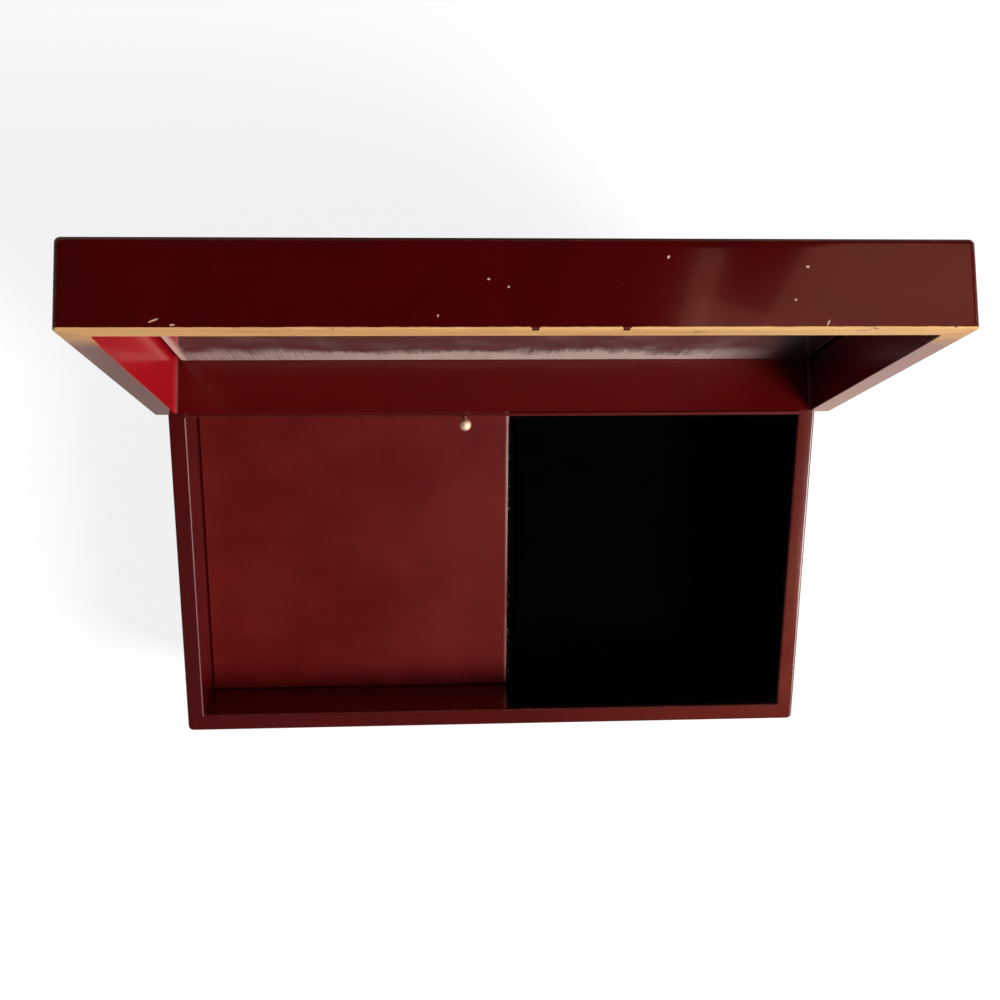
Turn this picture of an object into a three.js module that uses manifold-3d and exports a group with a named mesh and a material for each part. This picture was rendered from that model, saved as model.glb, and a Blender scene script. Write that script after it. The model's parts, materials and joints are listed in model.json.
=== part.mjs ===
// Musical jewelry box: a lacquered wooden case with a mirrored lid, a velvet compartment
// and a wind-up comb movement under a lacquered cover. Millimetres, +Z up, the lid open on its stop.
import * as THREE from "three";
import { mergeVertices } from "three/addons/utils/BufferGeometryUtils.js";
import Module from "manifold-3d";

const wasm = await Module();
wasm.setup();

// Case
const CASE_WIDTH = 230;
const CASE_DEPTH = 126;
const CASE_HEIGHT = 64;
const WALL = 6.2;
const CASE_CORNER = 1.8;
const RIM_ROUND = 0.8;
const INNER_CORNER = 0.2;
const BOTTOM_RECESS = 11;
const BOARD = 4;
const BOARD_GROOVE = 2.5;
const JOINERY_GAP = 0.1;

// Compartments
const MOVEMENT_HEADROOM = 3.4;
const COVER = 3;
const COVER_EDGE = 0.6;
const COVER_GAP = 0.2;
const DIVIDER = 4;
const DIVIDER_RIGHT_X = 6;
const DIVIDER_DADO = 1.5;
const LEDGE = 5;
const LINING = 1.2;
const LINING_DROP = 1;
const PAD_THICKNESS = 5;
const PAD_CROWN = 1.6;
const PAD_DRAW_IN = 1.2;
const PAD_GAP = 0.3;

// Lid
const LID_HEIGHT = 24;
const LID_RAIL = 7.4;
const LID_OVERHANG = 2.5;
const LID_SIDE_OVERHANG = 3.1;
const LID_TOP = 3;
const LID_CORNER = 1.8;
const LID_BACK_CORNER = 5.5;
const LID_INNER_CORNER = 1.2;
const LID_TOP_ROUND = 1.5;
const LID_RIM_ROUND = 0.5;
const LID_HEEL_ROUND = 5;
const LID_GAP = 0.3;
const LID_OPEN_DEGREES = 112;
const MIRROR = 2;
const MIRROR_CARD = 0.6;
const MIRROR_MARGIN = 1.8;
const MIRROR_HEEL_MARGIN = 0.4;
const GLUE = 0.05;
const MIRROR_CORNER = 1.5;

// Hinges
const HINGE_INSET = 2;
const HINGE_RISE = 3;
const HINGE_X = 72;
const KNUCKLE_RADIUS = 1.9;
const HINGE_LENGTH = 14;
const LEAF = 0.9;
const LEAF_REACH = 9;
const HINGE_PIN_RADIUS = 0.75;
const HINGE_RUNNING_GAP = 0.08;
const HINGE_CLEARANCE = 0.35;

// Stop pin
const PIN_X = -11.2;
const PIN_TO_WALL = 2.4;
const PIN_RADIUS = 0.8;
const PIN_GUIDE_GAP = 0.12;
const BALL_RADIUS = 2.15;
const BALL_RISE = 2.2;
const PIN_TRAVEL = 3.75;
const SPRING_SEAT = 1;
const SPRING_WIRE = 0.4;
const SPRING_TURNS = 6;
const SPRING_RADIUS = 1.7;
const COLLAR_RADIUS = 2.3;

// Movement
const MOVEMENT_X = -37.5;
const MOVEMENT_TO_PIN = 28.4;
const BEDPLATE = 2;
const AXIS_RISE = 13;
const CYLINDER_RADIUS = 6.5;
const CYLINDER_LENGTH = 21;
const TUNE_PIN_HEIGHT = 0.5;
const TUNE_PIN_SIDE = 0.42;
const NOTES = 18;
const PINS_PER_NOTE = 4;
const ARBOR_RADIUS = 0.75;
const BEARING_GAP = 0.07;
const CHEEK = 1.3;
const END_PLAY = 0.3;
const COMB_THICKNESS = 0.9;
const COMB_GAP = 0.2;
const TOOTH_GAP = 0.27;
const COMB_ROOT = 6.5;
const COMB_LONG_TOOTH = 12.6;
const COMB_SHORT_TOOTH = 8.6;

// Gears
const MODULE = 0.5;
const CROWN_TEETH = 40;
const CROWN_PINION_TEETH = 12;
const CYLINDER_GEAR_TEETH = 30;
const WHEEL_PINION_TEETH = 10;
const WORM_WHEEL_TEETH = 16;
const GEAR_WIDTH = 1.8;
const GEAR_FILL = 0.4;
const WORM_PITCH_RADIUS = 1.5;
const WORM_LENGTH = 7;
const BRIDGE = 1.2;
const FLY_RADIUS = 5;
const FLY_HEIGHT = 4.4;
const FLY_BLADE = 0.5;

// Mainspring, winding arbor and key
const DRUM_STEP = 0.1;
const DRUM_HEIGHT = 6.3;
const DRUM_WALL = 0.8;
const WINDING_RADIUS = 1.6;
const MAINSPRING_TURNS = 5;
const MAINSPRING_STRIP = 0.5;
const KEY_WIDTH = 24;
const KEY_THICKNESS = 1.6;
const KEY_TOP = 9;
const KEY_BOTTOM = 2;

// Screws
const SCREW_RADIUS = 1.1;
const SCREW_HEAD_RADIUS = 2.2;
const SCREW_HEAD = 1.3;
const SCREW_GAP = 0.08;
const DRIVER_SLOT = 0.5;

// Places that follow from the sizes above
const HALF_WIDTH = CASE_WIDTH / 2;
const HALF_DEPTH = CASE_DEPTH / 2;
const INNER_X = HALF_WIDTH - WALL;
const INNER_Y = HALF_DEPTH - WALL;
const BOARD_TOP = BOTTOM_RECESS + BOARD;
const COVER_BOTTOM = BOARD_TOP + bridgeZ() + BRIDGE + MOVEMENT_HEADROOM;
const TRAY_FLOOR = COVER_BOTTOM + COVER;
const DIVIDER_LEFT_X = DIVIDER_RIGHT_X - DIVIDER;
const HINGE_Y = HALF_DEPTH - HINGE_INSET;
const HINGE_Z = CASE_HEIGHT + HINGE_RISE;
const PIN_Y = INNER_Y - PIN_TO_WALL;
const MOVEMENT_Y = PIN_Y - MOVEMENT_TO_PIN;
const LID_OPEN = THREE.MathUtils.degToRad(LID_OPEN_DEGREES);

// Finishes
const finish = (color, roughness, metalness) =>
  new THREE.MeshStandardMaterial({ color, roughness, metalness });
const FINISHES = {
  lacquer: () => finish(0x4a0708, 0.18, 0),
  plainWood: () => finish(0xa67c4f, 0.8, 0),
  velvet: () => finish(0x050505, 1, 0),
  mirrorGlass: () => finish(0xc9cdce, 0.05, 1),
  card: () => finish(0x6d5a44, 0.9, 0),
  brass: () => finish(0xb08a4a, 0.3, 1),
  steel: () => finish(0x9a9da1, 0.3, 1),
  blueSteel: () => finish(0x3c4654, 0.35, 1),
  castPlate: () => finish(0xa9a08a, 0.45, 1),
};

// A closed geometry as a solid that can be joined and cut.
function solid(geometry) {
  const bare = geometry.clone();
  bare.deleteAttribute("normal");
  bare.deleteAttribute("uv");
  const merged = mergeVertices(bare, 1e-5);
  return new wasm.Manifold(
    new wasm.Mesh({
      numProp: 3,
      vertProperties: merged.attributes.position.array,
      triVerts: new Uint32Array(merged.index.array),
    }),
  );
}

const join = (...parts) => parts.reduce((a, b) => a.add(b));
const cut = (body, ...tools) => tools.reduce((a, b) => a.subtract(b), body);

function meshOf(name, shape, material) {
  const mesh = shape.getMesh();
  const geometry = new THREE.BufferGeometry();
  geometry.setAttribute("position", new THREE.BufferAttribute(mesh.vertProperties, 3));
  geometry.setIndex(new THREE.BufferAttribute(mesh.triVerts, 1));
  geometry.computeVertexNormals();
  const made = new THREE.Mesh(geometry, material());
  made.name = name;
  return made;
}

// A box between two corners.
function block(x0, x1, y0, y1, z0, z1) {
  const geometry = new THREE.BoxGeometry(x1 - x0, y1 - y0, z1 - z0);
  return solid(geometry.translate((x0 + x1) / 2, (y0 + y1) / 2, (z0 + z1) / 2));
}

// A cylinder along Z, standing at (x, y).
function rodZ(radius, z0, z1, sides = 24, x = 0, y = 0) {
  const geometry = new THREE.CylinderGeometry(radius, radius, z1 - z0, sides);
  return solid(geometry.rotateX(Math.PI / 2).translate(x, y, (z0 + z1) / 2));
}

// A cylinder along X, lying at (y, z).
function rodX(radius, x0, x1, y = 0, z = 0, sides = 24) {
  const geometry = new THREE.CylinderGeometry(radius, radius, x1 - x0, sides);
  return solid(geometry.rotateZ(Math.PI / 2).translate((x0 + x1) / 2, y, z));
}

// An outline in X and Y, raised along Z from z0 to z1.
function plate(points, z0, z1, holes = []) {
  const shape = new THREE.Shape(points.map(([x, y]) => new THREE.Vector2(x, y)));
  shape.holes = holes;
  const geometry = new THREE.ExtrudeGeometry(shape, { depth: z1 - z0, bevelEnabled: false });
  return solid(geometry.translate(0, 0, z0));
}

// An outline in Y and Z, drawn out along X from x0 to x1.
function beamX(points, x0, x1) {
  const shape = new THREE.Shape(points.map(([y, z]) => new THREE.Vector2(y, z)));
  const geometry = new THREE.ExtrudeGeometry(shape, { depth: x1 - x0, bevelEnabled: false });
  geometry.rotateX(Math.PI / 2).rotateZ(Math.PI / 2);
  return solid(geometry.translate(x0, 0, 0));
}

// A profile of radius and height, turned about Z.
function turned(profile, sides = 32) {
  const points = profile.map(([r, z]) => new THREE.Vector2(r, z));
  return solid(new THREE.LatheGeometry(points, sides).rotateX(Math.PI / 2));
}

// The outline of a rectangle with round corners, counter-clockwise: one radius for the back
// corners and one for the front corners.
function roundedOutline(halfX, halfY, backRadius, frontRadius, steps) {
  const corners = [[1, 1, backRadius], [-1, 1, backRadius], [-1, -1, frontRadius], [1, -1, frontRadius]];
  const points = [];
  corners.forEach(([sideX, sideY, radius], quarter) => {
    const [cx, cy] = [sideX * (halfX - radius), sideY * (halfY - radius)];
    for (let i = 0; i <= steps; i++) {
      const angle = ((quarter + i / steps) * Math.PI) / 2;
      points.push([cx + radius * Math.cos(angle), cy + radius * Math.sin(angle)]);
    }
  });
  return points;
}

// A block with round upright corners, whose outline grows or shrinks from level to level.
function layered(halfX, halfY, corner, levels, { steps = 4, backCorner = corner } = {}) {
  const rings = levels.map(({ z, grow }) =>
    roundedOutline(halfX + grow, halfY + grow, backCorner + grow, corner + grow, steps)
      .map(([x, y]) => [x, y, z]),
  );
  return solid(skin(rings));
}

// A closed surface through rings of as many points each, with flat ends.
function skin(rings) {
  const count = rings[0].length;
  const index = [];
  for (let k = 0; k + 1 < rings.length; k++) {
    for (let i = 0; i < count; i++) {
      const j = (i + 1) % count;
      const [a, b, c, d] = [k * count + i, k * count + j, (k + 1) * count + j, (k + 1) * count + i];
      index.push(a, b, c, a, c, d);
    }
  }
  const last = (rings.length - 1) * count;
  for (let i = 1; i + 1 < count; i++) {
    index.push(0, i + 1, i);
    index.push(last, last + i, last + i + 1);
  }
  const geometry = new THREE.BufferGeometry();
  geometry.setAttribute("position", new THREE.Float32BufferAttribute(rings.flat(2), 3));
  geometry.setIndex(index);
  return geometry;
}

// Levels of a quarter round: at the top of a block (rise 1) or under it (rise -1).
function roundLevels(edgeZ, radius, rise, steps = 3) {
  const levels = [];
  for (let i = 0; i <= steps; i++) {
    const angle = (i / steps) * (Math.PI / 2);
    levels.push({
      z: edgeZ - rise * radius * (1 - Math.sin(angle)),
      grow: -radius * (1 - Math.cos(angle)),
    });
  }
  return rise > 0 ? levels : levels.reverse();
}

// The four wedges, in plan, that part a ring of four walls at its mitres.
function mitreWedges(left, right, front, back, reach, z0, z1) {
  const inner = [left + reach, right - reach, front + reach, back - reach];
  const corner = {
    fl: [left, front], fr: [right, front], br: [right, back], bl: [left, back],
    ifl: [inner[0], inner[2]], ifr: [inner[1], inner[2]],
    ibr: [inner[1], inner[3]], ibl: [inner[0], inner[3]],
  };
  return {
    front: plate([corner.fl, corner.fr, corner.ifr, corner.ifl], z0, z1),
    right: plate([corner.fr, corner.br, corner.ibr, corner.ifr], z0, z1),
    back: plate([corner.br, corner.bl, corner.ibl, corner.ibr], z0, z1),
    left: plate([corner.bl, corner.fl, corner.ifl, corner.ibl], z0, z1),
  };
}

// Case walls
function caseWalls() {
  const outer = layered(HALF_WIDTH, HALF_DEPTH, CASE_CORNER, [
    ...roundLevels(0, RIM_ROUND / 2, -1),
    ...roundLevels(CASE_HEIGHT, RIM_ROUND, 1),
  ]);
  const pocket = layered(INNER_X, INNER_Y, INNER_CORNER, [
    { z: -1, grow: 0 },
    ...roundLevels(CASE_HEIGHT, RIM_ROUND, 1).map(({ z, grow }) => ({ z, grow: -grow })),
    { z: CASE_HEIGHT + 1, grow: RIM_ROUND },
  ], { steps: 2 });
  const boardGroove = block(
    -INNER_X - BOARD_GROOVE, INNER_X + BOARD_GROOVE,
    -INNER_Y - BOARD_GROOVE, INNER_Y + BOARD_GROOVE,
    BOTTOM_RECESS - JOINERY_GAP, BOARD_TOP + JOINERY_GAP,
  );
  const dividerDadoes = block(
    DIVIDER_LEFT_X - JOINERY_GAP, DIVIDER_RIGHT_X + JOINERY_GAP,
    -INNER_Y - DIVIDER_DADO, INNER_Y + DIVIDER_DADO,
    BOARD_TOP, COVER_BOTTOM,
  );
  const ring = cut(outer, pocket, boardGroove, dividerDadoes, ...hingeKerfs(-LEAF_REACH - 0.3, 0.5));
  const wedges = mitreWedges(
    -HALF_WIDTH, HALF_WIDTH, -HALF_DEPTH, HALF_DEPTH, WALL + 1, -1, CASE_HEIGHT + 1,
  );
  return Object.entries(wedges).map(([side, wedge]) =>
    meshOf(`case_${side}_wall`, ring.intersect(wedge), FINISHES.lacquer),
  );
}

// Slots for the hinge leaves in the case's back wall, from below the rim up to just over it.
function hingeKerfs(low, high) {
  return [-HINGE_X, HINGE_X].map((x) =>
    block(
      x - HINGE_LENGTH / 2 - JOINERY_GAP, x + HINGE_LENGTH / 2 + JOINERY_GAP,
      HINGE_Y - LEAF / 2 - JOINERY_GAP / 2, HINGE_Y + LEAF / 2 + JOINERY_GAP / 2,
      CASE_HEIGHT + low, CASE_HEIGHT + high,
    ),
  );
}

// Boards inside the case
function bottomBoard() {
  const reach = BOARD_GROOVE - JOINERY_GAP;
  const board = block(
    -INNER_X - reach, INNER_X + reach, -INNER_Y - reach, INNER_Y + reach, BOTTOM_RECESS, BOARD_TOP,
  );
  const drilled = cut(
    board,
    rodZ(WINDING_RADIUS + 1.6, 0, CASE_HEIGHT, 24, MOVEMENT_X + crownX(), MOVEMENT_Y),
    rodZ(SPRING_RADIUS + SPRING_WIRE, BOARD_TOP - SPRING_SEAT, CASE_HEIGHT, 20, PIN_X, PIN_Y),
    ...movementScrewPlaces().map(([x, y]) =>
      rodZ(SCREW_RADIUS + SCREW_GAP, 0, CASE_HEIGHT, 16, MOVEMENT_X + x, MOVEMENT_Y + y),
    ),
  );
  return meshOf("bottom_board", drilled, FINISHES.plainWood);
}

function divider() {
  const reach = INNER_Y + DIVIDER_DADO - JOINERY_GAP;
  const board = block(DIVIDER_LEFT_X, DIVIDER_RIGHT_X, -reach, reach, BOARD_TOP, COVER_BOTTOM);
  return meshOf("compartment_divider", board, FINISHES.plainWood);
}

function movementCover() {
  const halfX = (DIVIDER_RIGHT_X + INNER_X - COVER_GAP) / 2;
  const halfY = INNER_Y - COVER_GAP;
  const board = layered(halfX, halfY, 0.7, [
    { z: COVER_BOTTOM, grow: 0 },
    ...roundLevels(TRAY_FLOOR, COVER_EDGE, 1, 2),
  ], { steps: 2 }).translate([DIVIDER_RIGHT_X - halfX, 0, 0]);
  const slotRadius = PIN_RADIUS + 0.4;
  const slot = join(
    rodZ(slotRadius, COVER_BOTTOM - 1, TRAY_FLOOR + 1, 16, PIN_X, PIN_Y),
    rodZ(slotRadius, COVER_BOTTOM - 1, TRAY_FLOOR + 1, 16, PIN_X - 2, PIN_Y),
    block(PIN_X - 2, PIN_X, PIN_Y - slotRadius, PIN_Y + slotRadius, COVER_BOTTOM - 1, TRAY_FLOOR + 1),
  );
  return meshOf("movement_cover", cut(board, slot), FINISHES.lacquer);
}

function coverLedges() {
  const low = COVER_BOTTOM - LEDGE;
  const left = -INNER_X + INNER_CORNER;
  const back = cut(
    block(left, DIVIDER_LEFT_X, INNER_Y - LEDGE, INNER_Y, low, COVER_BOTTOM),
    rodZ(PIN_RADIUS + PIN_GUIDE_GAP, low - 1, COVER_BOTTOM + 1, 16, PIN_X, PIN_Y),
  );
  const front = block(left, DIVIDER_LEFT_X, -INNER_Y, LEDGE - INNER_Y, low, COVER_BOTTOM);
  const side = block(-INNER_X, LEDGE - INNER_X, LEDGE - INNER_Y, INNER_Y - LEDGE, low, COVER_BOTTOM);
  return [
    meshOf("cover_ledge_back", back, FINISHES.plainWood),
    meshOf("cover_ledge_front", front, FINISHES.plainWood),
    meshOf("cover_ledge_left", side, FINISHES.plainWood),
  ];
}

// Velvet over card on the four sides of the right compartment, and a crowned pad on its floor
function velvetLinings() {
  const top = CASE_HEIGHT - LINING_DROP;
  const leftFace = DIVIDER_RIGHT_X;
  const sideEnd = INNER_Y - LINING;
  const sides = {
    front: block(leftFace, INNER_X - LINING, -INNER_Y, LINING - INNER_Y, BOARD_TOP, top),
    back: block(leftFace, INNER_X - LINING, INNER_Y - LINING, INNER_Y, BOARD_TOP, top),
    left: block(leftFace, leftFace + LINING, -sideEnd, sideEnd, BOARD_TOP, TRAY_FLOOR - COVER_EDGE),
    right: block(INNER_X - LINING, INNER_X, -INNER_Y + INNER_CORNER, INNER_Y - INNER_CORNER, BOARD_TOP, top),
  };
  return Object.entries(sides).map(([side, shape]) =>
    meshOf(`velvet_lining_${side}`, shape, FINISHES.velvet),
  );
}

// A cushion's outline: round corners, with each side drawn in between them.
function cushionOutline(halfX, halfY, radius, drawIn) {
  const steps = 3;
  const arcs = roundedOutline(halfX, halfY, radius, radius, steps);
  const points = [];
  for (let quarter = 0; quarter < 4; quarter++) {
    const arc = arcs.slice(quarter * (steps + 1), (quarter + 1) * (steps + 1));
    const from = arc[steps];
    const to = arcs[((quarter + 1) * (steps + 1)) % arcs.length];
    const length = Math.hypot(to[0] - from[0], to[1] - from[1]);
    const inward = [(from[1] - to[1]) / length, (to[0] - from[0]) / length];
    points.push(...arc);
    for (let i = 1; i < 8; i++) {
      const bow = drawIn * Math.sin((i / 8) * Math.PI);
      points.push([
        from[0] + ((to[0] - from[0]) * i) / 8 + inward[0] * bow,
        from[1] + ((to[1] - from[1]) * i) / 8 + inward[1] * bow,
      ]);
    }
  }
  return points;
}

function velvetPad() {
  const left = DIVIDER_RIGHT_X + LINING + PAD_GAP;
  const right = INNER_X - LINING - PAD_GAP;
  const outline = cushionOutline((right - left) / 2, INNER_Y - LINING - PAD_GAP, 3, PAD_DRAW_IN);
  const side = PAD_THICKNESS - PAD_CROWN;
  const levels = [[0.985, 0], [0.997, side * 0.2], [1, side * 0.5], [0.997, side * 0.8]];
  for (let k = 0; k <= 9; k++) {
    const t = k / 9;
    levels.push([0.985 - 0.9 * t * t, side + PAD_CROWN * Math.sin((t * Math.PI) / 2)]);
  }
  const rings = levels.map(([shrink, z]) => outline.map(([x, y]) => [x * shrink, y * shrink, z]));
  const pad = solid(skin(rings)).translate([(left + right) / 2, 0, BOARD_TOP]);
  return meshOf("velvet_floor_pad", pad, FINISHES.velvet);
}

// Lid, in the hinge's own frame: shut, with the hinge axis at the origin
const LID_RIM_Z = LID_GAP - HINGE_RISE;
const LID_TOP_Z = LID_RIM_Z + LID_HEIGHT;
const LID_BACK_Y = HINGE_INSET;
const LID_FRONT_Y = -HINGE_Y - HALF_DEPTH - LID_OVERHANG;
const LID_HALF_X = HALF_WIDTH + LID_SIDE_OVERHANG;
const LID_MID_Y = (LID_BACK_Y + LID_FRONT_Y) / 2;
const LID_HALF_Y = (LID_BACK_Y - LID_FRONT_Y) / 2;
const LID_CEILING_Z = LID_TOP_Z - LID_TOP;

function lidRails() {
  const outer = layered(LID_HALF_X, LID_HALF_Y, LID_CORNER, [
    ...roundLevels(LID_RIM_Z, LID_RIM_ROUND, -1),
    { z: LID_CEILING_Z, grow: 0 },
  ], { backCorner: LID_BACK_CORNER });
  const pocket = layered(LID_HALF_X - LID_RAIL, LID_HALF_Y - LID_RAIL, LID_INNER_CORNER, [
    { z: LID_RIM_Z - 1, grow: 0 },
    { z: LID_CEILING_Z + 1, grow: 0 },
  ]);
  const ring = cut(
    cut(outer, pocket).translate([0, LID_MID_Y, 0]),
    heelCove(),
    ...lidHingeSeats(),
  );
  const wedges = mitreWedges(
    -LID_HALF_X, LID_HALF_X, LID_FRONT_Y, LID_BACK_Y, LID_RAIL + 1, LID_RIM_Z - 1, LID_CEILING_Z + 1,
  );
  return Object.entries(wedges).map(([side, wedge]) =>
    meshOf(`lid_${side}_rail`, ring.intersect(wedge), FINISHES.lacquer),
  );
}

// What is taken off the lid's lower back edge, so that it turns above the case's rim.
function heelCove() {
  const centreY = LID_BACK_Y - LID_HEEL_ROUND;
  const centreZ = LID_RIM_Z + LID_HEEL_ROUND;
  const points = [
    [LID_BACK_Y + 1, centreZ],
    [LID_BACK_Y + 1, LID_RIM_Z - 1],
    [centreY, LID_RIM_Z - 1],
  ];
  const steps = 8;
  for (let i = 0; i <= steps; i++) {
    const angle = -Math.PI / 2 + ((i / steps) * Math.PI) / 2;
    points.push([
      centreY + LID_HEEL_ROUND * Math.cos(angle),
      centreZ + LID_HEEL_ROUND * Math.sin(angle),
    ]);
  }
  return beamX(points, -LID_HALF_X - 1, LID_HALF_X + 1);
}

// Round each hinge: room for the knuckles and the fixed leaf's swing, and a slot for the lid's leaf.
function lidHingeSeats() {
  const swing = LID_OPEN - Math.PI / 2;
  const reach = LEAF / 2 + HINGE_CLEARANCE;
  const swingTop = (LID_BACK_Y + 1) * Math.tan(swing) + reach / Math.cos(swing);
  return [-HINGE_X, HINGE_X].flatMap((x) => {
    const [x0, x1] = [x - HINGE_LENGTH / 2 - HINGE_CLEARANCE, x + HINGE_LENGTH / 2 + HINGE_CLEARANCE];
    const leafGap = JOINERY_GAP / 2;
    return [
      rodX(KNUCKLE_RADIUS + HINGE_CLEARANCE, x0, x1),
      block(x0, x1, -reach, LID_BACK_Y + 1, LID_RIM_Z - 1, swingTop),
      block(
        x - HINGE_LENGTH / 2 - leafGap, x + HINGE_LENGTH / 2 + leafGap,
        -LEAF / 2 - leafGap, LEAF / 2 + leafGap, 0, LEAF_REACH + HINGE_RISE + 2 * leafGap,
      ),
    ];
  });
}

function lidTopPanel() {
  const panel = layered(LID_HALF_X, LID_HALF_Y, LID_CORNER, [
    { z: LID_CEILING_Z, grow: 0 },
    ...roundLevels(LID_TOP_Z, LID_TOP_ROUND, 1, 4),
  ], { backCorner: LID_BACK_CORNER });
  return meshOf("lid_top_panel", panel.translate([0, LID_MID_Y, 0]), FINISHES.lacquer);
}

// The glass stops short of the rails, and comes nearest to the back one.
function lidMirror() {
  const halfX = LID_HALF_X - LID_RAIL - MIRROR_MARGIN;
  const halfY = LID_HALF_Y - LID_RAIL - (MIRROR_MARGIN + MIRROR_HEEL_MARGIN) / 2;
  const middleY = LID_MID_Y + (MIRROR_MARGIN - MIRROR_HEEL_MARGIN) / 2;
  const cardTop = LID_CEILING_Z - GLUE;
  const glassTop = cardTop - MIRROR_CARD - GLUE;
  const edge = 0.4;
  const card = layered(halfX - 1, halfY - 1, MIRROR_CORNER, [
    { z: glassTop + GLUE, grow: 0 },
    { z: cardTop, grow: 0 },
  ]);
  const glass = layered(halfX, halfY, MIRROR_CORNER, [
    { z: glassTop - MIRROR, grow: -edge },
    { z: glassTop - MIRROR + edge, grow: 0 },
    { z: glassTop, grow: 0 },
  ]);
  return [
    meshOf("mirror_backing_card", card.translate([0, middleY, 0]), FINISHES.card),
    meshOf("lid_mirror", glass.translate([0, middleY, 0]), FINISHES.mirrorGlass),
  ];
}

// Hinges: two knuckles on the case's leaf, one on the lid's leaf, turning on one pin
function hingeKnuckles(spans, plateZ0, plateZ1, bore) {
  const half = HINGE_LENGTH / 2;
  const leaf = block(-half, half, -LEAF / 2, LEAF / 2, plateZ0, plateZ1);
  const rolls = spans.map(([a, b]) => rodX(KNUCKLE_RADIUS, a, b, 0, 0, 20));
  const others = [];
  for (let i = 0; i + 1 < spans.length; i++) others.push([spans[i][1], spans[i + 1][0]]);
  if (spans[0][0] > -half) others.push([-half - 1, spans[0][0]]);
  if (spans[spans.length - 1][1] < half) others.push([spans[spans.length - 1][1], half + 1]);
  const room = others.map(([a, b]) =>
    rodX(KNUCKLE_RADIUS + HINGE_CLEARANCE, a, b, 0, 0, 20),
  );
  return cut(join(cut(leaf, ...room), ...rolls), rodX(bore, -half - 1, half + 1, 0, 0, 16));
}

function hingeParts(side, x) {
  const half = HINGE_LENGTH / 2;
  const gap = 0.25;
  const third = HINGE_LENGTH / 3;
  const caseLeaf = hingeKnuckles(
    [[-half, -third / 2 - gap], [third / 2 + gap, half]],
    -HINGE_RISE - LEAF_REACH, 0, HINGE_PIN_RADIUS + HINGE_RUNNING_GAP / 2,
  );
  const lidLeaf = hingeKnuckles(
    [[-third / 2, third / 2]], 0, HINGE_RISE + LEAF_REACH, HINGE_PIN_RADIUS + HINGE_RUNNING_GAP,
  );
  const pin = rodX(HINGE_PIN_RADIUS, -half, half, 0, 0, 16);
  const fixed = new THREE.Group();
  fixed.position.set(x, HINGE_Y, HINGE_Z);
  fixed.add(meshOf(`hinge_case_leaf_${side}`, caseLeaf, FINISHES.brass));
  fixed.add(meshOf(`hinge_pin_${side}`, pin, FINISHES.brass));
  const turning = meshOf(`hinge_lid_leaf_${side}`, lidLeaf, FINISHES.brass);
  turning.position.x = x;
  return { fixed, turning };
}

// Stop pin: a ball on a rod that the closing lid presses down, with its return spring and arm
function stopPin() {
  const group = new THREE.Group();
  group.position.set(PIN_X, PIN_Y, 0);
  const ballZ = CASE_HEIGHT + BALL_RISE;
  const seatZ = ballZ - BALL_RADIUS * 0.85;
  const ball = solid(new THREE.SphereGeometry(BALL_RADIUS, 24, 16).rotateX(Math.PI / 2));
  const ballPlaced = cut(
    ball.translate([0, 0, ballZ]), rodZ(PIN_RADIUS + 0.02, seatZ - 2, ballZ - 0.4, 16),
  );
  const rod = rodZ(PIN_RADIUS, BOARD_TOP - SPRING_SEAT + 0.5 + PIN_TRAVEL, ballZ - 0.42, 16);
  group.add(meshOf("stop_pin_ball", ballPlaced, FINISHES.brass));
  group.add(meshOf("stop_pin_rod", rod, FINISHES.brass));
  group.add(meshOf("stop_arm", stopArm(), FINISHES.brass));
  group.add(meshOf("stop_pin_spring", pinSpring(), FINISHES.steel));
  return group;
}

// The arm reaches from the rod's collar into the sweep of the fly when the pin is down.
function stopArm() {
  const low = armZ();
  const [flyX, flyY] = [MOVEMENT_X + wormX() - PIN_X, MOVEMENT_Y + wormY() - PIN_Y];
  const tip = [flyX + FLY_RADIUS * 0.78, flyY + 1];
  const length = Math.hypot(...tip);
  const along = [tip[0] / length, tip[1] / length];
  const across = [-along[1] * 0.8, along[0] * 0.8];
  const tongue = plate([
    [-across[0], -across[1]],
    [tip[0] - across[0], tip[1] - across[1]],
    [tip[0] + across[0], tip[1] + across[1]],
    [across[0], across[1]],
  ], low, low + 0.8);
  const collar = rodZ(COLLAR_RADIUS, low, low + 1.4, 20);
  return cut(join(tongue, collar), rodZ(PIN_RADIUS + 0.02, low - 1, low + 3, 16));
}

function armZ() {
  return BOARD_TOP + flyZ() + FLY_HEIGHT + 1.4;
}

// A coil of round wire about the rod, from its seat in the bottom board up to the collar.
function pinSpring() {
  const wire = SPRING_WIRE / 2;
  const low = BOARD_TOP - SPRING_SEAT + 0.05 + wire;
  const high = armZ() - 0.05 - wire;
  const steps = SPRING_TURNS * 10;
  const rings = [];
  for (let i = 0; i <= steps; i++) {
    const t = i / steps;
    const angle = t * SPRING_TURNS * 2 * Math.PI;
    const ring = [];
    for (let k = 0; k < 6; k++) {
      const turn = (k / 6) * 2 * Math.PI;
      const r = SPRING_RADIUS + wire * Math.cos(turn);
      ring.push([r * Math.cos(angle), r * Math.sin(angle), low + (high - low) * t - wire * Math.sin(turn)]);
    }
    rings.push(ring);
  }
  return solid(skin(rings));
}

// Places in the movement: its own frame stands on the bottom board, the cylinder along X
const CYLINDER_END = CYLINDER_LENGTH / 2;
const CHEEK_X = CYLINDER_END + END_PLAY;
const GEAR_X = CHEEK_X + CHEEK + END_PLAY;
const CROWN_RADIUS = (CROWN_TEETH * MODULE) / 2;
const DRUM_RADIUS = CROWN_RADIUS + GEAR_WIDTH / 2 - DRUM_STEP;
const WHEEL_Y = ((CYLINDER_GEAR_TEETH + WHEEL_PINION_TEETH) * MODULE) / 2;
const WORM_WHEEL_X = GEAR_X + GEAR_WIDTH + 2;
const OUTER_CHEEK_X = WORM_WHEEL_X + GEAR_WIDTH + 2;

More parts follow.
